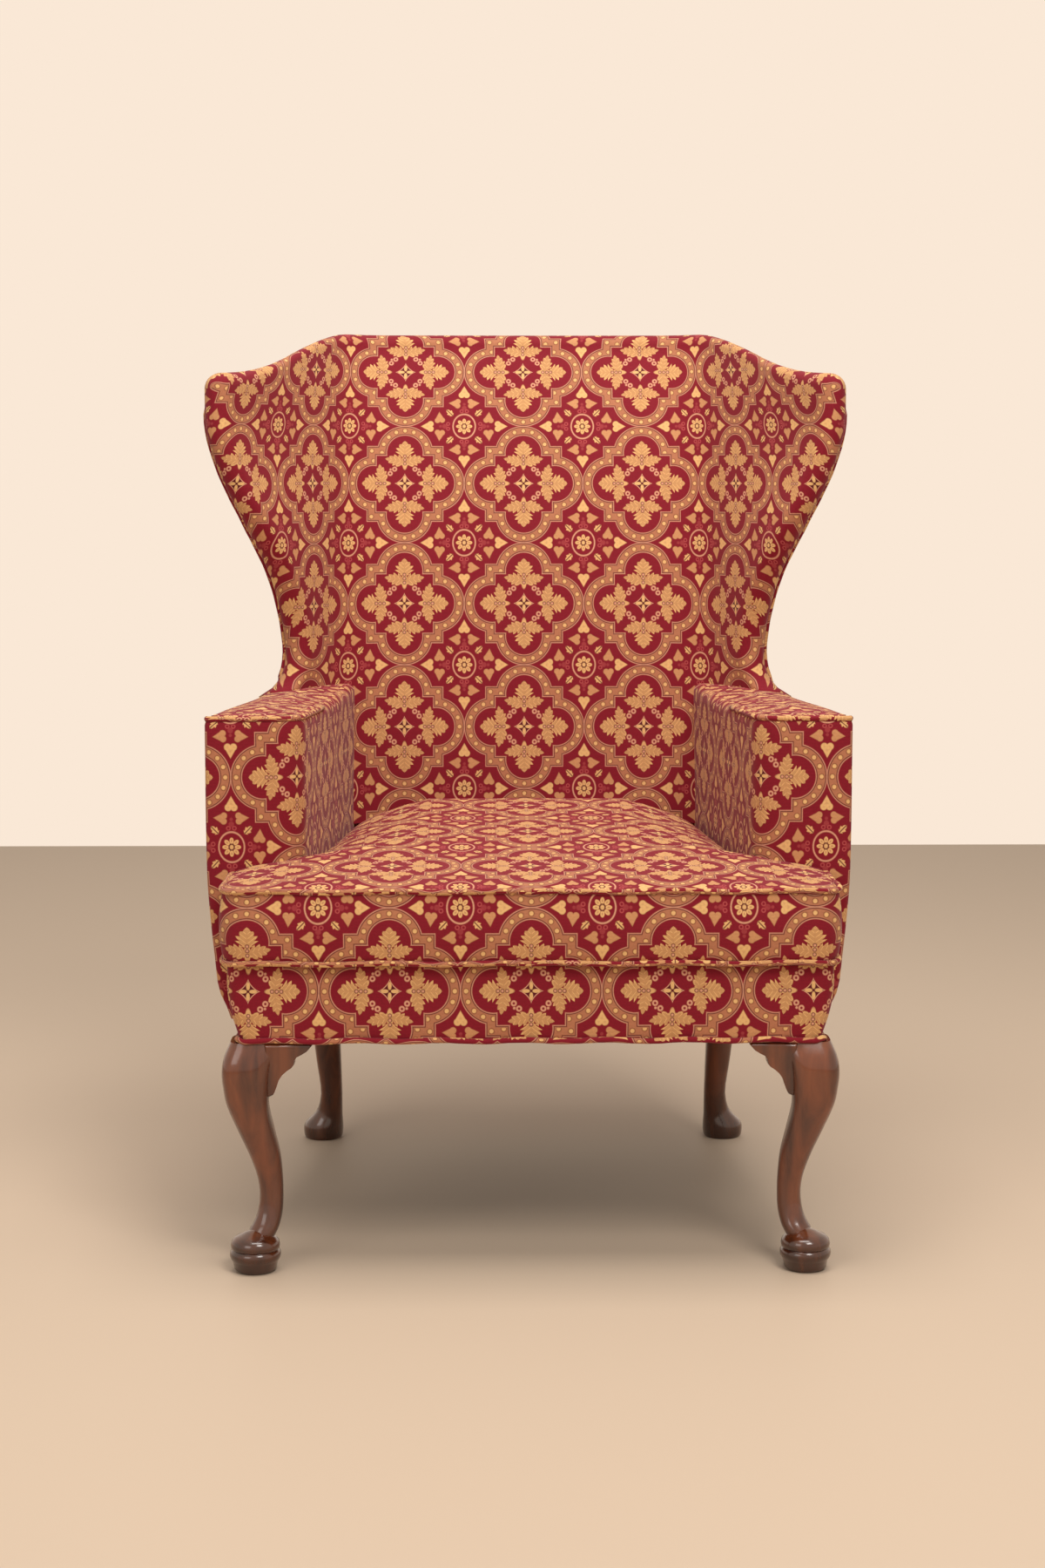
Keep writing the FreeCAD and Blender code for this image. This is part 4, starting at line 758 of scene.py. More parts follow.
def border_path(half):
    """Plan points round the border, from the right-hand return to the left-hand one."""
    points = []
    end = ARM_SETBACK - 0.001
    points += [complex(half, end + (BORDER_CORNER - end) * k / 6) for k in range(6)]
    centre = complex(half - BORDER_CORNER, BORDER_CORNER)
    points += [centre + BORDER_CORNER * cmath.exp(-1j * math.pi / 2 * k / 6) for k in range(6)]
    points += [complex((half - BORDER_CORNER) * (1 - k / 24), 0) for k in range(25)]
    return points + [complex(-p.real, p.imag) for p in reversed(points[:-1])]


def front_border():
    rows = []
    for i in range(15):
        t = i / 14
        z = RAIL_BOTTOM + (DECK_TOP - RAIL_BOTTOM) * t
        half = BORDER_HALF_BOTTOM + (BORDER_HALF_TOP - BORDER_HALF_BOTTOM) * math.sin(math.pi / 2 * t)
        points = border_path(half)
        walked = lengths(points)
        row = []
        for p, run in zip(points, walked):
            wave = 0.0012 * math.sin(run * 38) * (1 - t)
            bulge = 0.003 * math.sin(math.pi * t)
            outward = complex(p.real / half * 0.3, -1)
            if abs(p.real) >= half - 0.001:
                outward = complex(math.copysign(1, p.real), 0)
            spot = p + outward / abs(outward) * (wave + bulge)
            row.append((placed_at(spot, z), (walked[-1] / 2 - run, z)))
        rows.append(row)
    cloth = jacquard_cloth("border_cloth", 0.0, 0.006)
    border = cloth_piece("front_border_cloth", [rows], cloth, "chair", placed(0, 0.2, 0.3))
    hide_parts("front_border")


front_border()


# Loose cushion: a T-shaped cover over a foam core, boxed all round, crowned above and below, with a
# zip in the rear boxing. Its ears pass in front of the arms.
CUSHION_OVERHANG = 0.009
CUSHION_EAR_HALF = 0.337
CUSHION_LOW = 0.3495
CUSHION_HIGH = 0.4295
CUSHION_CROWN = 0.050
CUSHION_BACK = 0.500


def cushion_outline(inset):
    """Plan points of the T from the middle of the front round the right-hand side to the back's middle."""
    ear_back = ARM_SETBACK - 0.004
    side_front = cushion_side(ARM_SETBACK)
    side_back = cushion_side(CUSHION_BACK)
    corners = [
        (complex(CUSHION_EAR_HALF - inset, -CUSHION_OVERHANG + inset), 0.026),
        (complex(CUSHION_EAR_HALF - inset, ear_back - inset), 0.012),
        (complex(side_front - inset, ear_back - inset), 0.012),
        (complex(side_back - inset, CUSHION_BACK - inset), 0.018),
    ]
    knots = [complex(0, -CUSHION_OVERHANG + inset)] + [corner for corner, radius in corners]
    knots.append(complex(0, CUSHION_BACK - inset))
    counts = [22, 9, 5, 22, 16]
    points = []
    start = knots[0]
    for k, (corner, radius) in enumerate(corners):
        back = (knots[k] - corner) / abs(knots[k] - corner)
        ahead = (knots[k + 2] - corner) / abs(knots[k + 2] - corner)
        half = math.acos(max(-1, min(1, (back.real * ahead.real + back.imag * ahead.imag)))) / 2
        reach = radius / math.tan(half)
        enter = corner + back * reach
        leave = corner + ahead * reach
        points += [start + (enter - start) * i / counts[k] for i in range(counts[k])]
        middle = (back + ahead) / abs(back + ahead)
        centre = corner + middle * radius / math.sin(half)
        first = enter - centre
        turn = cmath.phase((leave - centre) / first)
        points += [centre + first * cmath.exp(1j * turn * i / 6) for i in range(6)]
        start = leave
    points += [start + (knots[-1] - start) * i / counts[4] for i in range(counts[4] + 1)]
    return points


def cushion_side(depth):
    """Half width of the cushion between the arms."""
    slope = (ARM_INNER_BACK - ARM_INNER_FRONT) / (ARM_INNER_END - ARM_SETBACK)
    return ARM_INNER_FRONT - 0.004 + slope * (depth - ARM_SETBACK)


def crown(x, depth, side):
    """How far the cushion's top or bottom stands out over its welt."""
    ear = CUSHION_EAR_HALF if depth < ARM_SETBACK else side
    across = max(0.0, 1 - abs(x) / ear)
    ahead = max(0.0, depth + CUSHION_OVERHANG)
    behind = max(0.0, CUSHION_BACK - depth)
    edge = min(1.0, ahead / 0.2) ** 0.5 * min(1.0, across * 2.2) ** 0.5 * min(1.0, behind / 0.06) ** 0.5
    return edge * (0.42 + 0.58 * min(1.0, ahead / 0.42) ** 1.2)


def cushion_patches():
    """The boxing, and the two crowned faces."""
    outline = cushion_outline(0.0)
    last = len(outline) - 1
    boxing = []
    for i in range(9):
        t = i / 8
        z = CUSHION_LOW + (CUSHION_HIGH - CUSHION_LOW) * t
        row = []
        for j, (p, way, run) in enumerate(zip(outline, ways(outline), lengths(outline))):
            # The rear boxing, with the zip, lies flat
            bulge = 0.0045 * math.sin(math.pi * t) * min(1.0, max(0.0, (0.49 - p.imag) / 0.08))
            spot = p - way * 1j * bulge
            x = 0.0 if j in (0, last) else spot.real
            row.append((placed(x, spot.imag, z), (run, z)))
        boxing.append(row)
    faces = []
    for level, height in ((CUSHION_HIGH, CUSHION_CROWN), (CUSHION_LOW, -0.002)):
        rows = []
        for share in [(k / 30) ** 1.6 for k in range(31)]:
            ring = []
            for j, p in enumerate(outline):
                middle = -CUSHION_OVERHANG + (CUSHION_BACK + CUSHION_OVERHANG) * j / last
                x = p.real * (1 - share)
                depth = p.imag + (middle - p.imag) * share
                side = cushion_side(depth)
                if depth < 0.16:
                    side = max(side, abs(p.real))
                z = level + height * crown(x, depth, side) if share else level
                ring.append((placed(x, depth, z), (x, depth + max(0, z - level) * 0.3)))
            rows.append(ring)
        faces.append(rows)
    return [boxing], faces


def seat_cushion():
    boxing, faces = cushion_patches()
    middle = placed(0, 0.25, 0.39)
    seam_cloth = jacquard_cloth("boxing_cloth", 0.0, 0.094)
    boxing += mirrored(boxing)
    band = cloth_piece("cushion_boxing", boxing, seam_cloth, "cushion", middle)
    cloth = jacquard_cloth("cushion_cloth", 0.0, 0.50)
    cover = cloth_piece("seat_cushion", faces + mirrored(faces), cloth, "cushion", middle)
    # The boxing and the two faces are sewn into one cover
    cover.data.materials.append(seam_cloth)
    band.select_set(True)
    cover.select_set(True)
    bpy.context.view_layer.objects.active = cover
    bpy.ops.object.join()
    weld(cover, 0.0001)
    cover.select_set(False)
    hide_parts("cushion_cover", "cushion_core")


seat_cushion()


# Welts: cords covered in the same cloth, cut on the cross, along the seams of the arms, wings, back,
# border and cushion.
WELT_RADIUS = 0.0032
WELT_SIDES = 10
WING_WELT_LOW = 0.611
WING_WELT_HIGH = 0.985
WELT_CLOTH = jacquard_cloth("welt_cloth", 0.1, 0.3)


def cross(a, b):
    return (a[1] * b[2] - a[2] * b[1], a[2] * b[0] - a[0] * b[2], a[0] * b[1] - a[1] * b[0])


def welt(name, path, body, node, closed=False):
    """Covered cord along a line of points."""
    count = len(path)
    rows = []
    run = 0.0
    for i in range(count + closed):
        here = path[i % count]
        before = path[(i - 1) % count] if closed or i > 0 else here
        after = path[(i + 1) % count] if closed or i < count - 1 else here
        if i:
            run += math.dist(here, path[(i - 1) % count])
        size = math.dist(before, after)
        way = [(b - a) / size for a, b in zip(before, after)]
        side = cross(way, (0, 0, 1) if abs(way[2]) < 0.8 else (1, 0, 0))
        length = math.hypot(*side)
        side = [c / length for c in side]
        up = cross(side, way)
        radius = WELT_RADIUS * (1 + 0.05 * math.sin(run * 170))
        row = []
        for k in range(WELT_SIDES + 1):
            angle = 2 * math.pi * k / WELT_SIDES
            c, s = radius * math.cos(angle), radius * math.sin(angle)
            # Cut on the cross: the pattern runs slantwise over the cord
            place = (run * 0.7 + radius * angle, run * 0.7 - radius * angle)
            row.append((tuple(h + c * a + s * b for h, a, b in zip(here, side, up)), place))
        rows.append(row)
    if not closed:
        caps = []
        for ring in (rows[0], rows[-1]):
            tip = tuple(sum(spot[axis] for spot, place in ring[:-1]) / WELT_SIDES for axis in range(3))
            caps.append([(tip, ring[0][1])] * (WELT_SIDES + 1))
        rows = [caps[0], *rows, caps[1]]
    cord = cloth_piece(name, [rows], WELT_CLOTH, body, path[count // 2])
    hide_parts(node)


def flip(path):
    return [(-x, y, z) for x, y, z in path]


def all_welts():
    # Arm: along the front top edge, round the inner corner and back along the inside edge
    arm = []
    wall = arm_wall_path(ARM_TOP - ARM_EDGE)
    for p, way in zip(wall, ways(wall)):
        if p.imag > 0.30:
            break
        spot = p - way * 1j * 0.0026
        arm.append(placed_at(spot, ARM_TOP - 0.0036 + wing_sweep(spot.imag)))

    # Wing: up the outer rear of the front edge, its ends sunk into the cover
    wing = []
    for k in range(38):
        z = WING_WELT_LOW + (WING_WELT_HIGH - WING_WELT_LOW) * k / 37
        points, outer, corner = wing_plan(z)
        spot = outer + (corner - outer) * 0.006
        sunk = 0.012 * max(0.0, (z - 0.950) / 0.035, (0.635 - z) / 0.024) ** 2
        wing.append(placed(spot.real + 0.0008 - sunk, spot.imag + sunk, z))
    for part, path in (("arm", arm), ("wing", wing)):
        for side, line in (("right", path), ("left", flip(path))):
            welt(part + "_welt_cord_" + side, line, "chair", part + "_welt_" + side)

    # Outside back: up one side, over the top and down the other
    half = []
    for k in range(31):
        z = RAIL_BOTTOM + 0.004 + (crest_height(BACK_HALF) - CREST_ROLL - 0.006 - RAIL_BOTTOM) * k / 30
        half.append(placed(BACK_HALF, rear_depth(z) + 0.003, z))
    for k in range(1, 25):
        x = BACK_HALF * (1 - k / 24)
        z = crest_height(x) - CREST_ROLL
        half.append(placed(x, rear_depth(z) + 0.003, z))
    welt("back_welt_cord", half + flip(reversed(half[:-1])), "chair", "back_welt")

    # Border: along its bottom edge and returns
    path = []
    for k, p in enumerate(border_path(BORDER_HALF_BOTTOM + 0.003)):
        path.append(placed(p.real, p.imag - 0.003, RAIL_BOTTOM + 0.003 + 0.0009 * math.sin(k * 0.9)))
    welt("border_welt_cord", path, "chair", "border_welt")

    # Cushion: round the top and the bottom of the boxing
    for end, z in (("top", CUSHION_HIGH), ("bottom", CUSHION_LOW + 0.001)):
        half = cushion_outline(-0.001)
        path = [placed_at(p, z + 0.0008 * math.sin(k * 0.7)) for k, p in enumerate(half)]
        path = path[:-1] + flip(reversed(path))[:-1]
        welt("cushion_welt_cord_" + end, path, "cushion", "cushion_welt_" + end, closed=True)


all_welts()


# Front legs: cabriole, carved from one square of walnut each, on a turned pad foot, with a knee
# block on both sides under the rails. French polished, darker at the foot.
def toned(factor, *tones):
    """Colour between two tones, each a position and a colour."""
    ramp = new_node(factor.id_data, "ValToRGB", {"Fac": factor})
    for step, (position, colour) in zip(ramp.color_ramp.elements, tones):
        step.position = position
        step.color = colour
    return ramp.outputs[0]


def grained(place, stretch, noise, *tones):
    """Wood's grain: noise stretched along an axis, between two tones."""
    mapped = new_node(place.id_data, "Mapping", {"Scale": stretch, "Vector": place})
    grain = new_node(place.id_data, "TexNoise", {**noise, "Vector": mapped.outputs[0]})
    return toned(grain.outputs[0], *tones)


def walnut():
    values = {"Roughness": 0.22, "Coat Weight": 0.6, "Coat Roughness": 0.08}
    material, tree, shader = new_material("walnut", values)
    place = new_node(tree, "TexCoord", {}).outputs["Object"]
    noise = {"Scale": 2.2, "Detail": 5, "Distortion": 0.6}
    tone = grained(place, (22, 22, 3), noise, (0.32, linear(70, 32, 17)), (0.7, linear(126, 64, 33)))
    height = new_node(tree, "SeparateXYZ", {0: place}).outputs[2]
    # Darker towards the floor: 0.4 of the grain's tone at floor level, rising to its full tone 85 mm up.
    low = {"From Min": 0.0, "From Max": 0.085, "To Min": 0.4, "To Max": 1.0, "Value": height}
    dark = new_node(tree, "MapRange", low).outputs[0]
    darker_near_floor = new_node(tree, "VectorMath", {0: tone, "Scale": dark}, operation="SCALE")
    tree.links.new(darker_near_floor.outputs[0], shader.inputs["Base Color"])
    return material


WALNUT = walnut()
LEG_CORNER = (0.332, -0.004)
FOOT_INSET = 0.026
LEG_SECTIONS = [
    # height, centre inset along both axes, half width, roundness 0 square to 1 round
    (0.03, 0.029, 0.013, 1.0), (0.044, 0.0345, 0.016, 1.0), (0.054, 0.039, 0.0148, 0.95),
    (0.066, 0.042, 0.0138, 0.9), (0.084, 0.0432, 0.0132, 0.88), (0.104, 0.0418, 0.0142, 0.85),
    (0.13, 0.0368, 0.0172, 0.8), (0.16, 0.0282, 0.02, 0.72), (0.19, 0.0202, 0.0228, 0.66),
    (0.21, 0.019, 0.0252, 0.62), (0.228, 0.0194, 0.027, 0.6), (0.244, 0.0228, 0.028, 0.55),
    (0.261, 0.028, 0.026, 0.4),
]
FOOT_PROFILE = [
    # radius, height
    (0.0, 0.0), (0.02, 0.0), (0.0235, 0.0035), (0.025, 0.011), (0.0262, 0.013), (0.028, 0.016),
    (0.0285, 0.019), (0.0282, 0.022), (0.0266, 0.024), (0.0256, 0.025), (0.0268, 0.0262),
    (0.0274, 0.03), (0.0262, 0.0345), (0.0225, 0.0382), (0.017, 0.0405), (0.01, 0.044), (0.0, 0.047),
]


def ringed_piece(name, rings, material, body):
    """Smooth solid through rings of points, closed at both ends."""
    count = len(rings[0])
    faces = []
    for i in range(len(rings) - 1):
        for j in range(count):
            k = (j + 1) % count
            faces.append((i * count + j, i * count + k, (i + 1) * count + k, (i + 1) * count + j))
    total = len(rings) * count
    faces += [tuple(reversed(range(count))), tuple(range(total - count, total))]
    piece = new_piece(name, [spot for ring in rings for spot in ring], faces, material)
    weld(piece, 0.00002)
    bpy.ops.object.shade_smooth_by_angle(angle=math.radians(50))
    piece.select_set(False)
    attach(piece, body)
    return piece


def rounded_square(x, depth, half_x, half_y, power, z, count=28):
    """Ring at height z that is an oval where power is 2 and squarer where it is more."""
    ring = []
    for k in range(count):
        c, s = math.cos(2 * math.pi * k / count), math.sin(2 * math.pi * k / count)
        reach = 1 / (abs(c) ** power + abs(s) ** power) ** (1 / power)
        ring.append(placed(x + half_x * reach * c, depth + half_y * reach * s, z))
    return ring


def front_legs():
    low, high = LEG_SECTIONS[0][0], LEG_SECTIONS[-1][0]
    corner_x, corner_depth = LEG_CORNER
    for side, sign in SIDES:
        rings = []
        for k in range(45):
            z = low + (high - low) * k / 44
            inset, half, roundness = between(LEG_SECTIONS, z)
            centre = sign * (corner_x - inset), corner_depth + inset
            rings.append(rounded_square(*centre, half, half, 6 - 4 * roundness, z))
        leg = ringed_piece("cabriole_leg_" + side, rings, WALNUT, "chair")
        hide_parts("front_leg_" + side)
        centre = sign * (corner_x - FOOT_INSET), corner_depth + FOOT_INSET
        rings = []
        for radius, z in FOOT_PROFILE:
            radius = max(radius, 0.0003)
            rings.append(rounded_square(*centre, radius, radius, 2, z, count=40))
        ringed_piece("pad_foot_" + side, rings, WALNUT, "chair")


front_legs()


# Knee blocks: walnut brackets with a cusp, glued beside each front leg's knee under the rails.
KNEE_BLOCK = [
    # inwards from the knee, height
    (-0.008, 0.261), (0.044, 0.261), (0.0445, 0.258), (0.041, 0.254), (0.035, 0.2505), (0.029, 0.2475),
    (0.0255, 0.243), (0.0245, 0.237), (0.022, 0.2335), (0.016, 0.2295), (0.01, 0.224), (0.0055, 0.217),
    (0.003, 0.209), (0.0, 0.201), (-0.008, 0.197),
]
KNEE_LAYERS = ((0, 0.86), (0.001, 0.93), (0.004, 0.99), (0.007, 1), (0.02, 1), (0.024, 0.95))


def knee_blocks():
    """Each layer is the outline at a depth behind the face and at a size."""
    centre = [sum(p[c] for p in KNEE_BLOCK) / len(KNEE_BLOCK) for c in (0, 1)]
    for side, sign in SIDES:
        for face in ("front", "side"):
            rings = []
            for depth, size in KNEE_LAYERS:
                ring = []
                for along, z in KNEE_BLOCK:
                    along = centre[0] + (along - centre[0]) * size
                    z = min(RAIL_BOTTOM, centre[1] + (z - centre[1]) * size)
                    out = depth - 0.006 * (1 - along / 0.045) + 0.012 * ((RAIL_BOTTOM - z) / 0.064) ** 2
                    if face == "front":
                        ring.append(placed(sign * (0.284 - along), out, z))
                    else:
                        ring.append(placed(sign * (0.322 - out), 0.044 + along, z))
                rings.append(ring)
            block = ringed_piece(face + "_knee_" + side, rings, WALNUT, "chair")
            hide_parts(face + "_knee_block_" + side)


knee_blocks()


# Back legs: each one piece with its raked post, plain and tapered, on a small pad foot.
BACK_LEG = [
    # height, half widths across and in depth, middle across and in depth, roundness
    (0.0, 0.0235, 0.0235, 0.2685, 0.627, 1.0), (0.003, 0.0255, 0.0255, 0.2685, 0.627, 1.0),
    (0.011, 0.0265, 0.0265, 0.2685, 0.627, 1.0), (0.018, 0.026, 0.0258, 0.268, 0.6265, 1.0),
    (0.024, 0.0238, 0.023, 0.266, 0.625, 0.98), (0.031, 0.02, 0.019, 0.2625, 0.6228, 0.95),
    (0.042, 0.0164, 0.016, 0.2588, 0.6195, 0.9), (0.065, 0.0143, 0.0147, 0.2563, 0.6115, 0.8),
    (0.112, 0.0165, 0.0165, 0.259, 0.6015, 0.7), (0.18, 0.019, 0.018, 0.263, 0.591, 0.6),
    (0.261, 0.022, 0.018, 0.268, 0.581, 0.4), (0.33, 0.022, 0.018, 0.268, 0.5925, 0.2),
    (1.012, 0.022, 0.018, 0.268, 0.7065, 0.2),
]


def back_legs():
    heights = [0.0, 0.0015, 0.003, 0.006, 0.011, 0.015, 0.018, 0.021, 0.024, 0.0275, 0.031, 0.036, 0.042]
    heights += [0.05 + 0.211 * k / 16 for k in range(17)] + [0.33, 0.5, 0.7, 0.9, 1.012]
    for side, sign in SIDES:
        rings = []
        for z in heights:
            half_x, half_y, x, depth, roundness = between(BACK_LEG, z)
            rings.append(rounded_square(sign * x, depth, half_x, half_y, 6 - 4 * roundness, z))
        leg = ringed_piece("back_leg_" + side, rings, WALNUT, "chair")
        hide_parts("back_post_" + side)


back_legs()


# Arm stumps: beech posts lapped on the side rails inside the arm fronts, with rounded corners.
STUMP_INNER = 0.276


def beech():
    material, tree, shader = new_material("beech", {"Roughness": 0.6})
    place = new_node(tree, "TexCoord", {}).outputs["Object"]
    tones = (0.35, linear(176, 134, 92)), (0.65, linear(206, 168, 122))
    tone = grained(place, (9, 9, 40), {"Scale": 3, "Detail": 4}, *tones)
    tree.links.new(tone, shader.inputs["Base Color"])
    return material


BEECH = beech()


def arm_stumps():
    for side, sign in SIDES:
        rings = []
        for z in (0.263, 0.265, 0.30, 0.35, 0.40, 0.45, 0.50, 0.55, 0.576, 0.578):
            outer = between(BELLY, z)[0] - 0.006
            middle, half = (STUMP_INNER + outer) / 2, (outer - STUMP_INNER) / 2
            rings.append(rounded_square(sign * middle, 0.150, half, 0.012, 7, z, count=24))
        stump = ringed_piece("arm_post_" + side, rings, BEECH, "chair")
        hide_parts("arm_stump_" + side)


arm_stumps()


# Inner frame: the beech rails, blocks and posts as the construction has them, oiled only by hands.
SINGLE_WOOD = "front_rail", "back_rail", "crest_rail", "back_tack_rail"
PAIRED_WOOD = "side_rail", "arm_rail", "arm_tack_rail", "wing_post", "wing_rail"
CORNER_BLOCKS = "front_corner_block", "rear_corner_block"


def repaint(name, material):
    """The construction's own solid in a material of this file."""
    for place in bpy.data.objects[name].material_slots:
        place.material = material


def inner_frame():
    for name in SINGLE_WOOD:
        repaint(name, BEECH)
    for part in PAIRED_WOOD + CORNER_BLOCKS:
        for side, sign in SIDES:
            repaint(part + "_" + side, BEECH)


inner_frame()


# Bolts: plain steel, four drawing the corner blocks to the legs.
def metal(name, colour, roughness):
    material, tree, shader = new_material(name, {"Metallic": 1.0, "Roughness": roughness})
    place = new_node(tree, "TexCoord", {}).outputs["Object"]
    fleck = new_node(tree, "TexNoise", {"Scale": 220, "Vector": place}).outputs[0]
    dark = tuple(c * 0.8 for c in colour[:3]) + (1,)
    tree.links.new(toned(fleck, (0, dark), (1, colour)), shader.inputs["Base Color"])
    return material


repaint("corner_bolts", metal("bolt_steel", linear(150, 148, 145), 0.4))


# Webbing: 50 mm jute straps, interlaced, tacked to the seat rails and up the back frame.
WEB_WIDTH = 0.050
WEB_LAP = 0.02


def woven(name, dark, light, scale):
    """Plain weave: two crossed ribs over a base colour."""
    material, tree, shader = new_material(name, {"Roughness": 0.9})
    place = new_node(tree, "UVMap", {}, uv_map="cloth").outputs[0]
    ribs = []
    for direction in ("X", "Y"):
        rib = new_node(tree, "TexWave", {"Scale": scale, "Vector": place}, bands_direction=direction)
        ribs.append(Field(rib.outputs["Fac"]))
    weave = ribs[0] * 0.5 + ribs[1] * 0.5
    tree.links.new(toned(weave.socket, (0, dark), (1, light)), shader.inputs["Base Color"])
    raise_surface(shader, weave, 0.3, 0.0005)
    return material


def strap(line, others, spot, lengthwise, over_first):
    """Rows of one strap, rising over and dipping under the others that it crosses."""
    start = others[0] - WEB_WIDTH / 2 - WEB_LAP
    end = others[-1] + WEB_WIDTH / 2 + WEB_LAP
    rows = []
    for k in range(97):
        at = start + (end - start) * k / 96
        near = min(range(len(others)), key=lambda m: abs(others[m] - at))
        gap = min(1.0, abs(others[near] - at) / (WEB_WIDTH * 0.75))
        over = 1 if (near + over_first) % 2 else -1
        rise = 0.0008 * over * max(0.0, math.cos(math.pi / 2 * gap))
        row = []
        for aside in (-WEB_WIDTH / 2, 0, WEB_WIDTH / 2):
            a, b = (line + aside, at) if lengthwise else (at, line + aside)
            row.append((spot(a, b, rise), (at, aside)))
        rows.append(row)
    return rows


def webbing(name, node, across, up, spot, cloth):
    """Straps at the places across, running up, and the other way round, over and under each other."""
    patches = [strap(line, up, spot, True, i + 1) for i, line in enumerate(across)]
    patches += [strap(line, across, spot, False, i) for i, line in enumerate(up)]
    straps = cloth_piece(name, patches, cloth, "chair", (0, 0, -5))
    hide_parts(node)


def both_webbings():
    jute = woven("jute", linear(120, 92, 58), linear(186, 154, 106), 120)
    webbing(
        "seat_straps",
        "seat_webbing",
        [-0.21, -0.126, -0.042, 0.042, 0.126, 0.21],
        [0.08, 0.17, 0.26, 0.35, 0.44, 0.53],
        lambda a, b, rise: placed(a, b, 0.3312 + rise),
        jute,
    )
    webbing(
        "back_straps",
        "back_webbing",
        [-0.18, -0.06, 0.06, 0.18],
        [0.47, 0.58, 0.69, 0.80, 0.91],
        lambda a, b, rise: placed(a, rear_depth(b) - 0.044 + rise, b),
        jute,
    )


both_webbings()


# Deck: a thin felt pad over the webbing, under a plain cloth that the loose cushion lies on.
DECK_DEPTH = 0.5025


def deck_rows(step_in, low, high):
    """Rows of the T, kept step_in from its edge, from a low edge to a high middle."""
    rows = []
    places = [0.0005 + step_in] + [0.02 + 0.1 * k / 8 for k in range(9)] + [0.1275, 0.1285]
    places += [0.15 + (DECK_DEPTH - 0.15) * k / 24 for k in range(25)]
    for depth in places:
        # As wide as the seat in front of the arms, and between them a little wider than the cushion
        half = (0.331 if depth < ARM_SETBACK else cushion_side(depth) + 0.008) - step_in
        row = []
        for k in range(25):
            share = k / 12 - 1
            x = half * share
            crown = (1 - share**2) * math.sin(math.pi * min(1, depth / DECK_DEPTH)) ** 0.5
            z = low + (high - low) * crown
            row.append((placed(x, depth, z), (x, depth)))
        rows.append(row)
    return rows


def deck():
    calico = woven("deck_weave", linear(176, 156, 128), linear(214, 198, 170), 160)
    top = deck_rows(0.0, 0.3455, 0.3458)
    cloth = cloth_piece("deck_top_cloth", [top], calico, "chair", (0, 0, -5))
    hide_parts("deck_cloth")
    felt = woven("felt", linear(120, 112, 104), linear(150, 142, 132), 90)
    top = deck_rows(0.014, 0.3425, 0.3438)
    bottom = deck_rows(0.014, 0.3335, 0.3330)
    edge = []
    for rows in (bottom, top):
        loop = [row[-1] for row in rows] + list(reversed(rows[-1]))[1:-1]
        loop += [row[0] for row in reversed(rows)] + rows[0][1:]
        edge.append(loop)
    pad = cloth_piece("deck_felt", [top, bottom, edge], felt, "chair", placed(0, 0.2, 0.338))
    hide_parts("deck_pad")


deck()


# Dust cover: black cambric tacked under the seat rails, hanging a little in the middle.
def dust_cover_point(i, j):
    s, t = j / 8 - 1, i / 8 - 1
    half, way = 0.2955 - 0.024 * (i / 16), 0.582 * i / 16
    sag = 0.0006 * (1 - s * s) * (1 - t * t)
    return placed(half * s, 0.009 + way, 0.2626 - sag), (half * s, way)


def dust_cover():
    rows = grid(16, 16, dust_cover_point)
    black = woven("cambric", linear(18, 17, 17), linear(38, 36, 36), 200)
    cover = cloth_piece("under_cloth", [rows], black, "chair", (0, 0, 5))
    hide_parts("dust_cover")


dust_cover()


# Zip: woven tape with brass teeth in the rear boxing, and the slider that runs along it.
ZIP_HALF = 0.170
ZIP_MIDDLE = 0.3863


def zip_teeth(brass):
    """A row of small blocks on the tape, alternately a little up and down."""
    points = []
    faces = []
    for k in range(112):
        x = -ZIP_HALF + 0.004 + 0.00299 * k
        z = ZIP_MIDDLE + (0.0008 if k % 2 else -0.0008)
        first = len(points)
        for dz in (-0.0016, 0.0016):
            for dx, dy in ((-0.0007, 0), (0.0007, 0), (0.0007, 0.0011), (-0.0007, 0.0011)):
                points.append(placed(x + dx, 0.5004 + dy, z + dz))
        for face in ((0, 3, 2, 1), (4, 5, 6, 7), (0, 1, 5, 4), (1, 2, 6, 5), (2, 3, 7, 6), (3, 0, 4, 7)):
            faces.append(tuple(first + c for c in face))
    teeth = new_piece("zip_teeth", points, faces, brass)
    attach(teeth, "cushion")


def cushion_zip():
    rows = []
    for z in (ZIP_MIDDLE - 0.007, ZIP_MIDDLE, ZIP_MIDDLE + 0.007):
        runs = [2 * ZIP_HALF * k / 20 for k in range(21)]
        rows.append([(placed(run - ZIP_HALF, 0.5006, z), (run, z)) for run in runs])
    weave = woven("tape", linear(96, 20, 30), linear(132, 34, 44), 240)
    tape = cloth_piece("zip_strip", [rows], weave, "cushion", placed(0, 0, 0.39))
    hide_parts("cushion_zip")
    brass = metal("brass", linear(176, 140, 84), 0.35)
    zip_teeth(brass)
    repaint("zip_slider", brass)


cushion_zip()


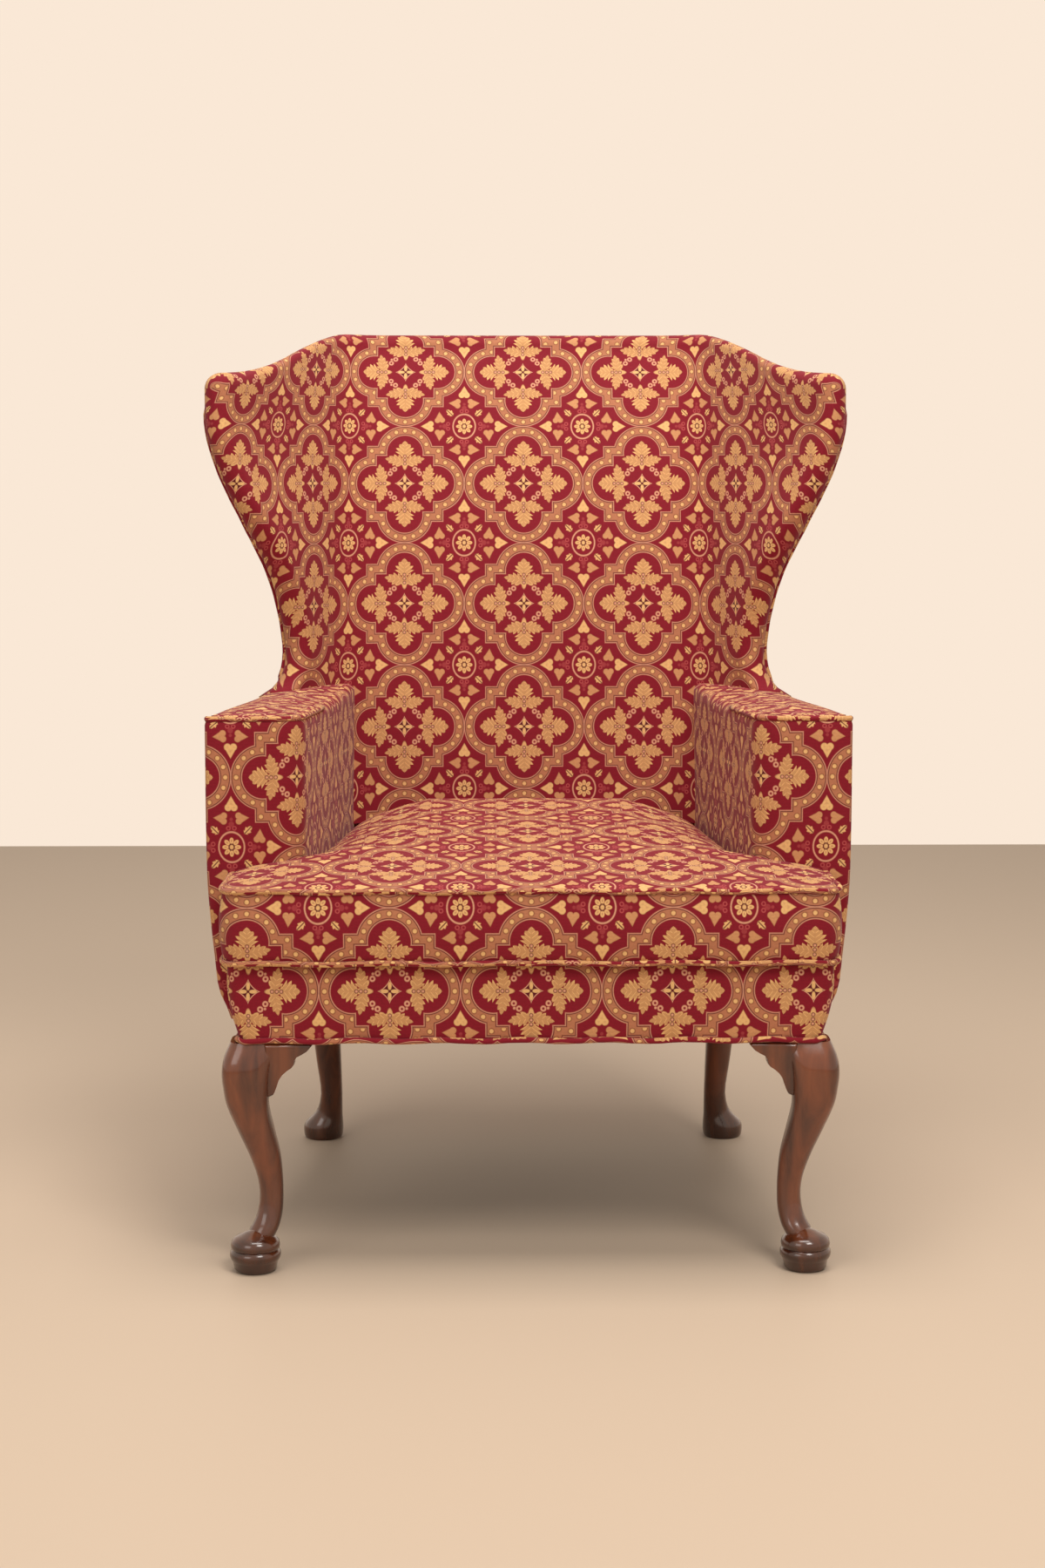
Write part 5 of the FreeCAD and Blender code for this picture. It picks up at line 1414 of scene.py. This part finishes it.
# Studio: a plain floor whose far edge is where the photograph's wall begins, a pale backdrop that is
# the world as the camera and reflections see it, and soft light from above, the front and the left.
def studio():
    bpy.ops.mesh.primitive_plane_add(size=12, location=(0, -2.8, 0))
    floor = bpy.context.object
    floor.name = "floor"
    floor.data.materials.append(
        new_material("floor_paint", {"Base Color": linear(206, 184, 160), "Roughness": 0.6})[0]
    )
    for name, place, size, power in (
        ("key", (1.0, -2.6, 3.0), 1.2, 52),
        ("fill", (-2.0, -2.8, 1.8), 1.6, 18),
        ("top", (0.0, -0.5, 3.3), 1.8, 66),
    ):
        light = bpy.data.lights.new(name, "AREA")
        light.energy = power
        light.size = size
        light.color = (1.0, 0.96, 0.92)
        lamp = bpy.data.objects.new(name, light)
        bpy.context.collection.objects.link(lamp)
        lamp.location = place
        aim = -lamp.location.copy()
        aim.z += 0.5
        lamp.rotation_euler = aim.to_track_quat("-Z", "Y").to_euler()
    world = bpy.data.worlds.new("studio")
    world.use_nodes = True
    tree = world.node_tree
    soft = tree.nodes["Background"]
    soft.inputs["Color"].default_value = (1.0, 0.95, 0.9, 1)
    soft.inputs["Strength"].default_value = 0.36
    seen = new_node(tree, "Background", {"Color": linear(250, 232, 214)})
    sight = new_node(tree, "LightPath", {})
    shown = Field(sight.outputs["Is Camera Ray"]).most(Field(sight.outputs["Is Glossy Ray"]))
    shown = shown.most(Field(sight.outputs["Is Transmission Ray"]))
    mix = new_node(tree, "MixShader", {0: shown.socket, 1: soft.outputs[0], 2: seen.outputs[0]})
    tree.links.new(mix.outputs[0], tree.nodes["World Output"].inputs["Surface"])
    bpy.context.scene.world = world
    bpy.context.scene.view_settings.view_transform = "Standard"


studio()


# Camera: at the photograph's angle, a little left of the middle, 850 mm above the floor.
lens = bpy.data.cameras.new("camera")
lens.lens = 59.02
camera = bpy.data.objects.new("camera", lens)
bpy.context.collection.objects.link(camera)
camera.location = (-0.0476, -3.1282, 0.8503)
camera.rotation_euler = (math.radians(83.714), 0, math.radians(-0.79))
bpy.context.scene.camera = camera
